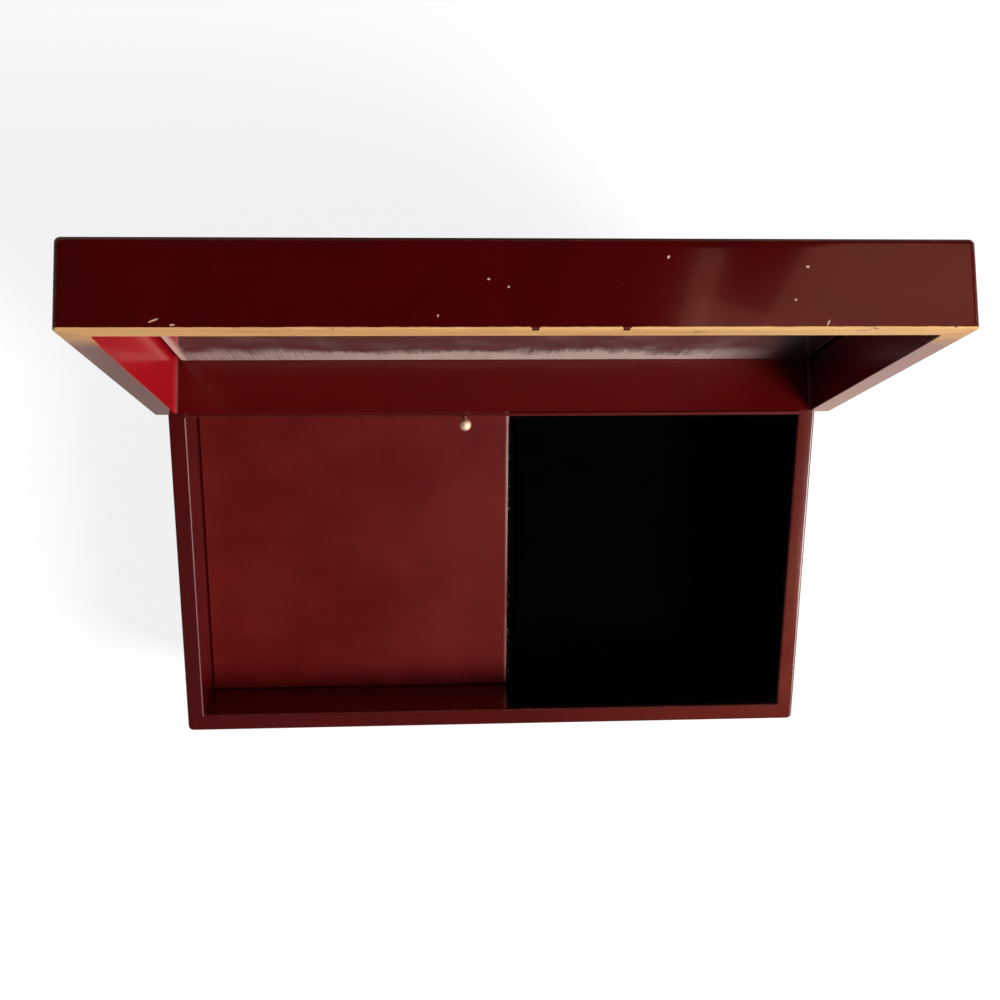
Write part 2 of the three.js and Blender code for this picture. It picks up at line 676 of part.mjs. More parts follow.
function crownX() {
  return -GEAR_X - GEAR_WIDTH / 2 - CROWN_RADIUS;
}

function wormX() {
  return WORM_WHEEL_X + GEAR_WIDTH / 2;
}

function wormY() {
  return WHEEL_Y + (WORM_WHEEL_TEETH * MODULE) / 2 + WORM_PITCH_RADIUS;
}

function flyZ() {
  return BEDPLATE + 1;
}

function bridgeY() {
  return wormY() + FLY_RADIUS + 1.5;
}

function movementScrewPlaces() {
  return [
    [crownX() - DRUM_RADIUS * 0.1, DRUM_RADIUS + 5],
    [crownX() - DRUM_RADIUS * 0.1, -DRUM_RADIUS - 5],
    [OUTER_CHEEK_X - 2, -COMB_LONG_TOOTH],
  ];
}

// A spur gear along X from x = 0, with its first tooth turned by a share of a tooth's step.
function gear(teeth, width, { addendum = 0.42, dedendum = 0.6, shift = 0, twist = 0, bore = 0 } = {}) {
  const pitchRadius = (teeth * MODULE) / 2;
  const tip = pitchRadius + addendum;
  const root = pitchRadius - dedendum;
  const step = (2 * Math.PI) / teeth;
  const points = [];
  for (let i = 0; i < teeth; i++) {
    const middle = (i + shift) * step;
    const rootHalf = (GEAR_FILL + 0.12) * step * 0.5;
    const tipHalf = (GEAR_FILL - 0.16) * step * 0.5;
    for (const [r, offset] of [[root, -rootHalf], [tip, -tipHalf], [tip, tipHalf], [root, rootHalf]]) {
      points.push(new THREE.Vector2(r * Math.cos(middle + offset), r * Math.sin(middle + offset)));
    }
  }
  const shape = new THREE.Shape(points);
  if (bore) shape.holes.push(new THREE.Path().absarc(0, 0, bore, 0, 2 * Math.PI, true));
  const geometry = new THREE.ExtrudeGeometry(shape, {
    depth: width, bevelEnabled: false, curveSegments: 16, steps: twist ? 3 : 1,
  });
  if (twist) twistAboutZ(geometry, twist, width / 2);
  return solid(geometry.rotateX(Math.PI / 2).rotateZ(Math.PI / 2));
}

function twistAboutZ(geometry, perLength, middle) {
  const place = geometry.getAttribute("position");
  for (let i = 0; i < place.count; i++) {
    const angle = perLength * (place.getZ(i) - middle);
    const [x, y] = [place.getX(i), place.getY(i)];
    place.setXY(i, x * Math.cos(angle) - y * Math.sin(angle), x * Math.sin(angle) + y * Math.cos(angle));
  }
}

function bedplate() {
  const [left, right] = [crownX() - DRUM_RADIUS - 2, OUTER_CHEEK_X + CHEEK + 1];
  const [front, back] = [-combBackReach(), bridgeFoot()];
  const chamfer = 8;
  const floor = plate([
    [left + chamfer, -DRUM_RADIUS - 8], [CHEEK_X - 26, front], [right, front], [right, back],
    [CHEEK_X - 12, back], [left + chamfer, DRUM_RADIUS + 8],
    [left, DRUM_RADIUS], [left, -DRUM_RADIUS],
  ], 0, BEDPLATE);
  const cheekTop = AXIS_RISE + 3;
  const cheek = (x, y0, y1) => block(x, x + CHEEK, y0, y1, BEDPLATE - 0.5, cheekTop);
  const combStand = block(
    -CHEEK_X - 2, CHEEK_X + 2, front, front + COMB_ROOT, BEDPLATE - 0.5, combBottom(),
  );
  const body = join(
    floor, combStand,
    cheek(-CHEEK_X - CHEEK, -4, 4),
    cheek(CHEEK_X, -4, WHEEL_Y + 2.5),
    cheek(OUTER_CHEEK_X, WHEEL_Y - 3.5, WHEEL_Y + 1.2),
  );
  const bearing = ARBOR_RADIUS + BEARING_GAP;
  return meshOf("movement_bedplate", cut(
    body,
    rodX(bearing, -CHEEK_X - CHEEK - 1, CHEEK_X + CHEEK + 1, 0, AXIS_RISE, 16),
    rodX(bearing, CHEEK_X - 1, OUTER_CHEEK_X + CHEEK + 1, WHEEL_Y, AXIS_RISE, 16),
    rodZ(bearing, -1, BEDPLATE + 0.1, 16, wormX(), wormY()),
    rodZ(WINDING_RADIUS + BEARING_GAP, -1, BEDPLATE + 1, 20, crownX(), 0),
    ...movementScrewPlaces().map(([x, y]) => rodZ(SCREW_RADIUS + SCREW_GAP, -1, BEDPLATE + 1, 16, x, y)),
    ...combScrewPlaces().map(([x, y]) =>
      rodZ(SCREW_RADIUS + SCREW_GAP, combBottom() - 5, combBottom() + 1, 16, x, y),
    ),
    rodZ(SCREW_RADIUS + SCREW_GAP, -1, BEDPLATE + 1, 16, ...bridgeScrewPlace()),
  ), FINISHES.castPlate);
}

// Cylinder: brass tube with its tune pins, its two gears and the arbor they turn on
function cylinderBody() {
  const drum = rodX(CYLINDER_RADIUS, -CYLINDER_END, CYLINDER_END, 0, 0, 40);
  const pins = [];
  for (let note = 0; note < NOTES; note++) {
    for (let k = 0; k < PINS_PER_NOTE; k++) {
      pins.push(tunePin(note, k));
    }
  }
  const bored = cut(join(drum, ...pins), rodX(ARBOR_RADIUS + 0.02, -20, 20, 0, 0, 16));
  return meshOf("pinned_cylinder", bored, FINISHES.brass);
}

// Pins spread over the cylinder by a golden-angle step, so no tune is copied.
function tunePin(note, k) {
  const pitch = CYLINDER_LENGTH / NOTES;
  const x = (note + 0.5) * pitch - CYLINDER_END;
  const spread = (note * PINS_PER_NOTE + k) * 2.399963;
  const angle = (spread % ((2 * Math.PI) / PINS_PER_NOTE)) + (k * 2 * Math.PI) / PINS_PER_NOTE;
  const geometry = new THREE.BoxGeometry(TUNE_PIN_SIDE, TUNE_PIN_SIDE, TUNE_PIN_HEIGHT + 0.6);
  geometry.translate(0, 0, CYLINDER_RADIUS + (TUNE_PIN_HEIGHT - 0.6) / 2);
  return solid(geometry.rotateX(angle).translate(x, 0, 0));
}

function cylinderGroup() {
  const group = new THREE.Group();
  group.position.set(0, 0, AXIS_RISE);
  const bore = ARBOR_RADIUS + 0.02;
  const pinion = gear(CROWN_PINION_TEETH, GEAR_WIDTH, { bore, shift: 0.5 });
  const wheel = gear(CYLINDER_GEAR_TEETH, GEAR_WIDTH, { bore });
  group.add(cylinderBody());
  group.add(meshOf("crown_pinion", pinion.translate([-GEAR_X - GEAR_WIDTH, 0, 0]), FINISHES.brass));
  group.add(meshOf("cylinder_gear", wheel.translate([GEAR_X, 0, 0]), FINISHES.brass));
  group.add(meshOf(
    "cylinder_arbor", rodX(ARBOR_RADIUS, -GEAR_X - GEAR_WIDTH - 0.4, GEAR_X + GEAR_WIDTH + 0.4, 0, 0, 16),
    FINISHES.steel,
  ));
  return group;
}

// Crown wheel: a disc whose teeth stand up round its rim, on the winding arbor
function crownWheel() {
  const pitchZ = AXIS_RISE - (CROWN_PINION_TEETH * MODULE) / 2;
  const rootZ = pitchZ - 0.6;
  const tipZ = pitchZ + 0.42;
  const [inner, outer] = [CROWN_RADIUS - GEAR_WIDTH / 2, CROWN_RADIUS + GEAR_WIDTH / 2];
  const disc = turned([
    [0, rootZ - 1], [outer, rootZ - 1], [outer, rootZ], [inner, rootZ],
    [inner - 0.6, rootZ - 0.4], [4, rootZ - 0.4], [3.2, rootZ + 1], [0, rootZ + 1],
  ], 40);
  const pitch = (2 * Math.PI * CROWN_RADIUS) / CROWN_TEETH;
  const rootHalf = ((GEAR_FILL + 0.1) * pitch) / 2;
  const tipHalf = ((GEAR_FILL - 0.2) * pitch) / 2;
  const teeth = [];
  for (let i = 0; i < CROWN_TEETH; i++) {
    const tooth = beamX([
      [-rootHalf, rootZ - 0.3], [rootHalf, rootZ - 0.3], [tipHalf, tipZ], [-tipHalf, tipZ],
    ], inner + 0.15, outer - 0.15);
    teeth.push(tooth.rotate([0, 0, (i * 360) / CROWN_TEETH]));
  }
  return cut(join(disc, ...teeth), rodZ(WINDING_RADIUS + 0.02, 0, 30, 20));
}

// Drum with the mainspring coiled inside it
function springDrum() {
  const low = BEDPLATE;
  const inner = DRUM_RADIUS - DRUM_WALL;
  return turned([
    [WINDING_RADIUS + 0.4, low], [DRUM_RADIUS, low], [DRUM_RADIUS, low + DRUM_HEIGHT],
    [inner, low + DRUM_HEIGHT], [inner, low + DRUM_WALL], [WINDING_RADIUS + 0.4, low + DRUM_WALL],
    [WINDING_RADIUS + 0.4, low],
  ], 40);
}

function mainspring() {
  const [start, end] = [WINDING_RADIUS + 0.7, DRUM_RADIUS - DRUM_WALL - MAINSPRING_STRIP / 2 - 0.1];
  const steps = MAINSPRING_TURNS * 20;
  const [inner, outer] = [[], []];
  for (let i = 0; i <= steps; i++) {
    const t = i / steps;
    const angle = t * MAINSPRING_TURNS * 2 * Math.PI;
    const r = start + (end - start) * t;
    const half = MAINSPRING_STRIP / 2;
    inner.push([(r - half) * Math.cos(angle), (r - half) * Math.sin(angle)]);
    outer.push([(r + half) * Math.cos(angle), (r + half) * Math.sin(angle)]);
  }
  const low = BEDPLATE + DRUM_WALL + 0.05;
  return plate([...outer, ...inner.reverse()], low, low + DRUM_HEIGHT - DRUM_WALL - 0.6);
}

function windingGroup() {
  const group = new THREE.Group();
  group.position.set(crownX(), 0, 0);
  const arborLow = KEY_TOP - BOARD_TOP - 4;
  const arborHigh = AXIS_RISE - (CROWN_PINION_TEETH * MODULE) / 2 + 1;
  const arbor = rodZ(WINDING_RADIUS, arborLow, arborHigh, 20);
  group.add(meshOf("crown_wheel", crownWheel(), FINISHES.brass));
  group.add(meshOf("winding_arbor", arbor, FINISHES.steel));
  group.add(meshOf("winding_key", windingKey(arborLow), FINISHES.brass));
  group.add(meshOf("spring_drum", springDrum(), FINISHES.brass));
  group.add(meshOf("mainspring", mainspring(), FINISHES.blueSteel));
  return group;
}

// Winding key: a hub on the arbor's foot with two rounded wings, as high as the recess allows
function windingKey(arborLow) {
  const [low, high] = [KEY_BOTTOM - BOARD_TOP, KEY_TOP - BOARD_TOP];
  const wing = new THREE.Shape();
  const radius = (high - low) / 2;
  const reach = KEY_WIDTH / 2 - radius;
  wing.absarc(reach, 0, radius, -Math.PI / 2, Math.PI / 2, false);
  wing.quadraticCurveTo(reach / 2, radius * 0.55, 0, radius * 0.6);
  wing.quadraticCurveTo(-reach / 2, radius * 0.55, -reach, radius);
  wing.absarc(-reach, 0, radius, Math.PI / 2, (3 * Math.PI) / 2, false);
  wing.quadraticCurveTo(-reach / 2, -radius * 0.55, 0, -radius * 0.6);
  wing.quadraticCurveTo(reach / 2, -radius * 0.55, reach, -radius);
  for (const side of [-1, 1]) {
    wing.holes.push(new THREE.Path().absarc(side * reach, 0, radius * 0.42, 0, 2 * Math.PI, true));
  }
  const geometry = new THREE.ExtrudeGeometry(wing, {
    depth: KEY_THICKNESS, bevelEnabled: false, curveSegments: 10,
  });
  geometry.translate(0, 0, -KEY_THICKNESS / 2).rotateX(Math.PI / 2).translate(0, 0, (low + high) / 2);
  const hub = rodZ(WINDING_RADIUS + 1.2, low + 1, high, 20);
  return cut(join(solid(geometry), hub), rodZ(WINDING_RADIUS + 0.02, arborLow - 0.02, high + 1, 20));
}

// Comb: one steel plate, its teeth longest at the bass end
function combBottom() {
  return AXIS_RISE - COMB_THICKNESS / 2;
}

function combTipY() {
  return -(CYLINDER_RADIUS + TUNE_PIN_HEIGHT + COMB_GAP);
}

function combBackReach() {
  return -combTipY() + COMB_LONG_TOOTH + COMB_ROOT;
}

function combScrewPlaces() {
  const y = -combBackReach() + COMB_ROOT / 2;
  return [[-CYLINDER_END * 0.62, y], [CYLINDER_END * 0.62, y]];
}

function comb() {
  const pitch = CYLINDER_LENGTH / NOTES;
  const tip = combTipY();
  const back = -combBackReach();
  const points = [[CYLINDER_END + 2, back], [CYLINDER_END + 2, back + COMB_ROOT - 1]];
  for (let i = NOTES - 1; i >= 0; i--) {
    const t = i / (NOTES - 1);
    const length = COMB_LONG_TOOTH + (COMB_SHORT_TOOTH - COMB_LONG_TOOTH) * t;
    const centre = (i + 0.5) * pitch - CYLINDER_END;
    const half = (pitch - TOOTH_GAP) / 2;
    points.push([centre + half, tip - length], [centre + half * 0.8, tip]);
    points.push([centre - half * 0.8, tip], [centre - half, tip - length]);
  }
  points.push([-CYLINDER_END - 2, back + COMB_ROOT - 1], [-CYLINDER_END - 2, back]);
  const low = combBottom();
  const body = plate(points, low, low + COMB_THICKNESS);
  const drilled = cut(body, ...combScrewPlaces().map(([x, y]) =>
    rodZ(SCREW_RADIUS + SCREW_GAP, low - 1, low + 3, 16, x, y),
  ));
  return meshOf("music_comb", drilled, FINISHES.steel);
}

// Worm wheel and its pinion on one arbor, between the cheeks
function wheelGroup() {
  const group = new THREE.Group();
  group.position.set(0, WHEEL_Y, AXIS_RISE);
  const bore = ARBOR_RADIUS + 0.02;
  const lead = Math.PI * MODULE;
  const leadAngle = Math.atan(lead / (2 * Math.PI * WORM_PITCH_RADIUS));
  const twist = Math.tan(leadAngle) / ((WORM_WHEEL_TEETH * MODULE) / 2);
  const pinion = gear(WHEEL_PINION_TEETH, GEAR_WIDTH, { bore, shift: 0.5 });
  const wheel = gear(WORM_WHEEL_TEETH, GEAR_WIDTH, { bore, twist });
  const hub = cut(
    rodX(1.5, GEAR_X + GEAR_WIDTH, WORM_WHEEL_X, 0, 0, 20),
    rodX(bore, GEAR_X, WORM_WHEEL_X + 1, 0, 0, 16),
  );
  group.add(meshOf(
    "governor_pinion", join(pinion.translate([GEAR_X, 0, 0]), hub), FINISHES.brass,
  ));
  group.add(meshOf("worm_wheel", wheel.translate([WORM_WHEEL_X, 0, 0]), FINISHES.brass));
  group.add(meshOf(
    "governor_arbor", rodX(ARBOR_RADIUS, CHEEK_X + 0.2, OUTER_CHEEK_X + CHEEK - 0.2, 0, 0, 16),
    FINISHES.steel,
  ));
  return group;
}

// Worm: a single thread round an upright shaft, with the fly on its foot
function wormGroup() {
  const group = new THREE.Group();
  group.position.set(wormX(), wormY(), 0);
  group.add(meshOf("governor_worm", wormShaft(), FINISHES.steel));
  group.add(meshOf("governor_fly", flyBlades(), FINISHES.brass));
  return group;
}

function wormShaft() {
  const lead = Math.PI * MODULE;
  const sides = 16;
  const root = WORM_PITCH_RADIUS - 0.6;
  const tip = WORM_PITCH_RADIUS + 0.4;
  const low = AXIS_RISE - WORM_LENGTH / 2;
  const rings = [];
  const perTurn = 8;
  const count = Math.round((WORM_LENGTH / lead) * perTurn);
  for (let k = 0; k <= count; k++) {
    const z = low + (WORM_LENGTH * k) / count;
    const fade = Math.min(1, k / perTurn, (count - k) / perTurn);
    const ring = [];
    for (let i = 0; i < sides; i++) {
      const angle = (i / sides) * 2 * Math.PI;
      const turn = (z - AXIS_RISE) / lead - (angle + Math.PI / 2) / (2 * Math.PI);
      const share = 1 - Math.abs(2 * (turn - Math.floor(turn)) - 1);
      const height = Math.min(1, Math.max(0, (share - 0.48) / 0.3));
      const r = root + (tip - root) * height * fade;
      ring.push([r * Math.cos(angle), r * Math.sin(angle), z]);
    }
    rings.push(ring);
  }
  return join(
    solid(skin(rings)),
    rodZ(root - 0.05, low - 1, low + WORM_LENGTH + 1, 16),
    rodZ(ARBOR_RADIUS, 0.2, bridgeZ() + BRIDGE - 0.2, 16),
  );
}

function flyBlades() {
  const low = flyZ();
  const hub = rodZ(1.4, low, low + FLY_HEIGHT, 20);
  const blades = block(-FLY_RADIUS, FLY_RADIUS, -FLY_BLADE / 2, FLY_BLADE / 2, low + 0.3, low + FLY_HEIGHT);
  const turnedAway = blades.rotate([0, 0, 105]);
  return cut(join(hub, turnedAway), rodZ(ARBOR_RADIUS + 0.02, low - 1, low + FLY_HEIGHT + 1, 16));
}

// Bridge that carries the worm's upper pivot: its underside, its screw and the end of its foot
function bridgeZ() {
  return AXIS_RISE + WORM_LENGTH / 2 + 1.6;
}

function bridgeScrewPlace() {
  return [wormX(), bridgeY() + BRIDGE + SCREW_HEAD_RADIUS + 0.4];
}

function bridgeFoot() {
  return bridgeY() + BRIDGE + 2 * SCREW_HEAD_RADIUS + 0.8;
}

function governorBridge() {
  const [x0, x1] = [wormX() - 4, wormX() + 4];
  const y = bridgeY();
  const top = bridgeZ() + BRIDGE;
  const body = beamX([
    [wormY() - 2.2, bridgeZ()], [y, bridgeZ()], [y, BEDPLATE], [bridgeFoot(), BEDPLATE],
    [bridgeFoot(), BEDPLATE + BRIDGE], [y + BRIDGE, BEDPLATE + BRIDGE], [y + BRIDGE, top],
    [wormY() - 2.2, top],
  ], x0, x1);
  return meshOf("governor_bridge", cut(
    body,
    rodZ(ARBOR_RADIUS + BEARING_GAP, bridgeZ() - 1, top + 1, 16, wormX(), wormY()),
    rodZ(SCREW_RADIUS + SCREW_GAP, BEDPLATE - 1, BEDPLATE + BRIDGE + 1, 16, ...bridgeScrewPlace()),
  ), FINISHES.brass);
}

// A slotted pan-head screw along Z: its head sits on z = 0 and its shank goes down by length.
function screw(name, length, x, y, z, down = true) {
  const head = turned([
    [0, 0], [SCREW_HEAD_RADIUS, 0], [SCREW_HEAD_RADIUS, SCREW_HEAD * 0.55],
    [SCREW_HEAD_RADIUS * 0.75, SCREW_HEAD], [0, SCREW_HEAD],
  ], 20);
  const slot = block(
    -SCREW_HEAD_RADIUS, SCREW_HEAD_RADIUS, -DRIVER_SLOT / 2, DRIVER_SLOT / 2,
    SCREW_HEAD - DRIVER_SLOT, SCREW_HEAD + 1,
  );
  const made = meshOf(name, join(cut(head, slot), rodZ(SCREW_RADIUS, -length, 0.1, 16)), FINISHES.steel);
  if (!down) made.rotation.x = Math.PI;
  made.position.set(x, y, z);
  return made;
}

function movementScrews() {
  return movementScrewPlaces().map(([x, y], i) =>
    screw(`movement_screw_${i + 1}`, BOARD + BEDPLATE - 0.2, x, y, -BOARD, false),
  );
}

function movement() {
  const group = new THREE.Group();
  group.position.set(MOVEMENT_X, MOVEMENT_Y, BOARD_TOP);
  group.add(bedplate(), comb(), governorBridge());
  group.add(cylinderGroup(), wheelGroup(), wormGroup(), windingGroup());
  group.add(...movementScrews());
  combScrewPlaces().forEach(([x, y], i) =>
    group.add(screw(`comb_screw_${i + 1}`, 4, x, y, combBottom() + COMB_THICKNESS)),
  );
  group.add(screw("bridge_screw", BEDPLATE, ...bridgeScrewPlace(), BEDPLATE + BRIDGE));
  return group;
}

// The whole box
const lid = new THREE.Group();
lid.position.set(0, HINGE_Y, HINGE_Z);
lid.rotation.x = -LID_OPEN;
lid.add(...lidRails(), lidTopPanel(), ...lidMirror());

const caseGroup = new THREE.Group();
caseGroup.add(...caseWalls(), bottomBoard(), divider(), movementCover(), ...coverLedges());
caseGroup.add(...velvetLinings(), velvetPad(), stopPin(), movement());

for (const [side, x] of [["left", -HINGE_X], ["right", HINGE_X]]) {
  const { fixed, turning } = hingeParts(side, x);
  caseGroup.add(fixed);
  lid.add(turning);
}

// The origin lies under the middle of the whole object's footprint with the lid open.
const roundCentreY = LID_FRONT_Y + LID_TOP_ROUND;
const roundCentreZ = LID_TOP_Z - LID_TOP_ROUND;
const lidReachY = HINGE_Y + roundCentreY * Math.cos(LID_OPEN) + roundCentreZ * Math.sin(LID_OPEN)
  + LID_TOP_ROUND;

const box = new THREE.Group();
box.position.y = -(lidReachY - HALF_DEPTH) / 2;
box.add(caseGroup, lid);

export default box;
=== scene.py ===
"""A lacquered musical jewelry box: its finishes, velvet and small wear, in a plain studio."""

import json
import math

import bmesh
import bpy
from mathutils import Matrix, Vector


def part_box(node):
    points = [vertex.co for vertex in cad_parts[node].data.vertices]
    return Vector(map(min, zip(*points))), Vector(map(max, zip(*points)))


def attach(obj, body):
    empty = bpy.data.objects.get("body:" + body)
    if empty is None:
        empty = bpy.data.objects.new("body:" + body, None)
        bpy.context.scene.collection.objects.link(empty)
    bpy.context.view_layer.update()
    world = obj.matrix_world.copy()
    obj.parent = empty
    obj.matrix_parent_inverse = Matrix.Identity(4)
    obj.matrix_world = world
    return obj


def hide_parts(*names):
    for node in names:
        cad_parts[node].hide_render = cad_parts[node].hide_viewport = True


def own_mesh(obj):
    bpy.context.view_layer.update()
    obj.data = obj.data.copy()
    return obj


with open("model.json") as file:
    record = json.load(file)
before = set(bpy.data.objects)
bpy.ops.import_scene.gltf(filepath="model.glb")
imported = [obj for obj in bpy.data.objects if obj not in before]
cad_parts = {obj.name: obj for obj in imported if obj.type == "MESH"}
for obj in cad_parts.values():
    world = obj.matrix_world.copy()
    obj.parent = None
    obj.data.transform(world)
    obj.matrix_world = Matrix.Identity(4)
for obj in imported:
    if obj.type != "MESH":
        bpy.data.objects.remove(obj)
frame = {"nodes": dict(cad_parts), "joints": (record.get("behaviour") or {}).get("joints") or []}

bl_info = {
    "name": "Musical Jewelry Box",
    "version": (1, 0, 0),
    "blender": (4, 5, 0),
    "location": "3D View > Sidebar > Jewelry Box",
    "description": "Dresses a lacquered musical jewelry box with its finishes, velvet and wear",
    "category": "Object",
}

MM = 0.001
ACROSS = Vector((1, 0, 0))
BACKWARD = Vector((0, 1, 0))
UPWARD = Vector((0, 0, 1))

# Places taken from the frame. The lid's own directions are those that it has at rest, open.
HINGE = Vector(frame["joints"][0]["pos_m"])
LID_OPEN = math.radians(112)
LID_BACKWARD = Vector((0, math.cos(LID_OPEN), -math.sin(LID_OPEN)))
LID_UPWARD = Vector((0, math.sin(LID_OPEN), math.cos(LID_OPEN)))
CASE_AXES = (ACROSS, BACKWARD, UPWARD)
LID_AXES = (ACROSS, LID_BACKWARD, LID_UPWARD)
RIM_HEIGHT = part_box("case_left_wall")[1].z
CASE_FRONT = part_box("case_front_wall")[0].y
CASE_HALF_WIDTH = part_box("case_right_wall")[1].x
COVER_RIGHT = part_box("movement_cover")[1].x
LINING_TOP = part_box("velvet_lining_left")[1].z
LID_HALF_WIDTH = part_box("lid_right_rail")[1].x
MIRROR_HALF_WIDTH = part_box("lid_mirror")[1].x


def lid_span(node, direction):
    """The least and greatest reach of a lid node along a direction, in mm from the hinge axis."""
    vertices = frame["nodes"][node].data.vertices
    reaches = [(vert.co - HINGE).dot(direction) / MM for vert in vertices]
    return min(reaches), max(reaches)


LID_RIM = lid_span("lid_front_rail", LID_UPWARD)[0]
LID_FRONT = lid_span("lid_front_rail", LID_BACKWARD)[0]
LID_BACK_INSIDE = lid_span("lid_back_rail", LID_BACKWARD)[0]
MIRROR_HEEL = lid_span("lid_mirror", LID_BACKWARD)[1]

# Chips in the lacquer of the lid's front: mm across, mm over the rim, half length, half width
# and slope in degrees
FRONT_CHIPS = (
    (-93.1, 2.2, 1.5, 0.28, 22),
    (-88.4, 1.1, 0.8, 0.3, 8),
    (-54.1, 22.2, 0.45, 0.35, 0),
    (-9.3, 12.9, 0.4, 0.33, 0),
    (-4.3, 10.9, 0.35, 0.3, 40),
    (-22.3, 3.4, 0.5, 0.22, 80),
    (36.9, 18.7, 0.6, 0.32, 60),
    (73.1, 16.2, 0.5, 0.4, 15),
    (69.6, 7.5, 0.38, 0.35, 0),
    (77.9, 1.5, 0.95, 0.25, 65),
)
# Nicks in the bare wood of the lid's front rim, in mm across
RIM_NICKS = (2.4, 25.7)

# Tones that no setting gives, as linear light
WORN_ARRIS = (0.3, 0.1, 0.06)
DUST = (0.34, 0.17, 0.13)
CHIP_PALE, CHIP_DEEP = (0.78, 0.5, 0.38), (0.62, 0.3, 0.2)
WOOD_PALE, WOOD_DEEP = (0.79, 0.48, 0.185), (0.53, 0.26, 0.085)
WOOD_PORE, WOOD_STAIN = (0.2, 0.1, 0.04), (0.2, 0.11, 0.05)
# The bright red of the lid's left inner face is painted light; the right inner face has a deep red
LID_LEFT_INSIDE_PAINTED_LIGHT, LID_RIGHT_INSIDE = (0.4, 0.004, 0.012), (0.06, 0.001, 0.001)
LID_BACK_RED = (0.068, 0.001, 0.001)
# A painted reflection on the case's right rim
RIM_PAINTED_REFLECTION = (0.11, 0.02, 0.008)
# A painted highlight on the cover's rounded edge
COVER_EDGE_PAINTED_HIGHLIGHT = (0.5, 0.32, 0.28)
NAP_DARK, NAP_BRUSHED = (0.0004, 0.0004, 0.0004), (0.001, 0.001, 0.0011)
PILE_TIPS, LINT = (0.0035, 0.0035, 0.0038), (0.25, 0.24, 0.22)
SILVER, SILVER_FILM, SILVER_FLAKED = (0.88, 0.83, 0.8), (0.78, 0.33, 0.22), (0.78, 0.59, 0.5)

# The camera: its right, up and backward axes, and its place in mm from the middle of the case's
# front at the height of its rim
VIEW_AXES = ((0.998, 0.0078, 0.0623), (0.0097, 0.9611, -0.2761), (-0.062, 0.2762, 0.9591))
VIEW_PLACE = (-27.04, 216.01, 441.07)

# The lamps: what they face, their colours, and of the faint ones at the right and behind, in one
# order, azimuth and elevation in degrees, size in m and share of their power
BOX_MIDDLE = Vector((0, 0, 60 * MM))
LID_CORNER = Vector((80 * MM, 80 * MM, 180 * MM))
WHITE_LIGHT, WARM_LIGHT = (1.0, 0.97, 0.95), (1.0, 0.46, 0.34)
WINDOW_LAMPS = {
    "Window": (55.7, 49, (0.268, 0.335), 1),
    "Window sill": (69, 55.8, (0.083, 0.165), 0.15),
    "Window edge": (72.4, 52.3, (0.03, 0.15), 0.055),
}
FLOOR_WARMTH = (1.0, 0.74, 0.66)
ROOM_GLOW = (1.3, 0.38, 0.26)


# Node trees


class Amount:
    """A number that varies over a surface and takes part in Python sums."""

    def __init__(self, nodes, socket):
        self.nodes = nodes
        self.socket = socket

    def math(self, operation, *others):
        """The outcome of a Math node that starts with this number."""
        return self.nodes.math(operation, self, *others)

    def __add__(self, other):
        return self.math("ADD", other)

    __radd__ = __add__

    def __sub__(self, other):
        return self.math("SUBTRACT", other)

    def __rsub__(self, other):
        return self.nodes.math("SUBTRACT", other, self)

    def __mul__(self, other):
        return self.math("MULTIPLY", other)

    __rmul__ = __mul__

    def __abs__(self):
        return self.math("ABSOLUTE")

    def most(self, other):
        """The greater of the two."""
        return self.math("MAXIMUM", other)

    def step(self, low, high):
        """0 up to low and 1 from high on, smooth between; the other way round if high is less."""
        settings = {"interpolation_type": "SMOOTHSTEP"}
        limits = {"Value": self, "From Min": low, "From Max": high}
        node = self.nodes.node("ShaderNodeMapRange", settings, limits)
        return Amount(self.nodes, node.outputs["Result"])


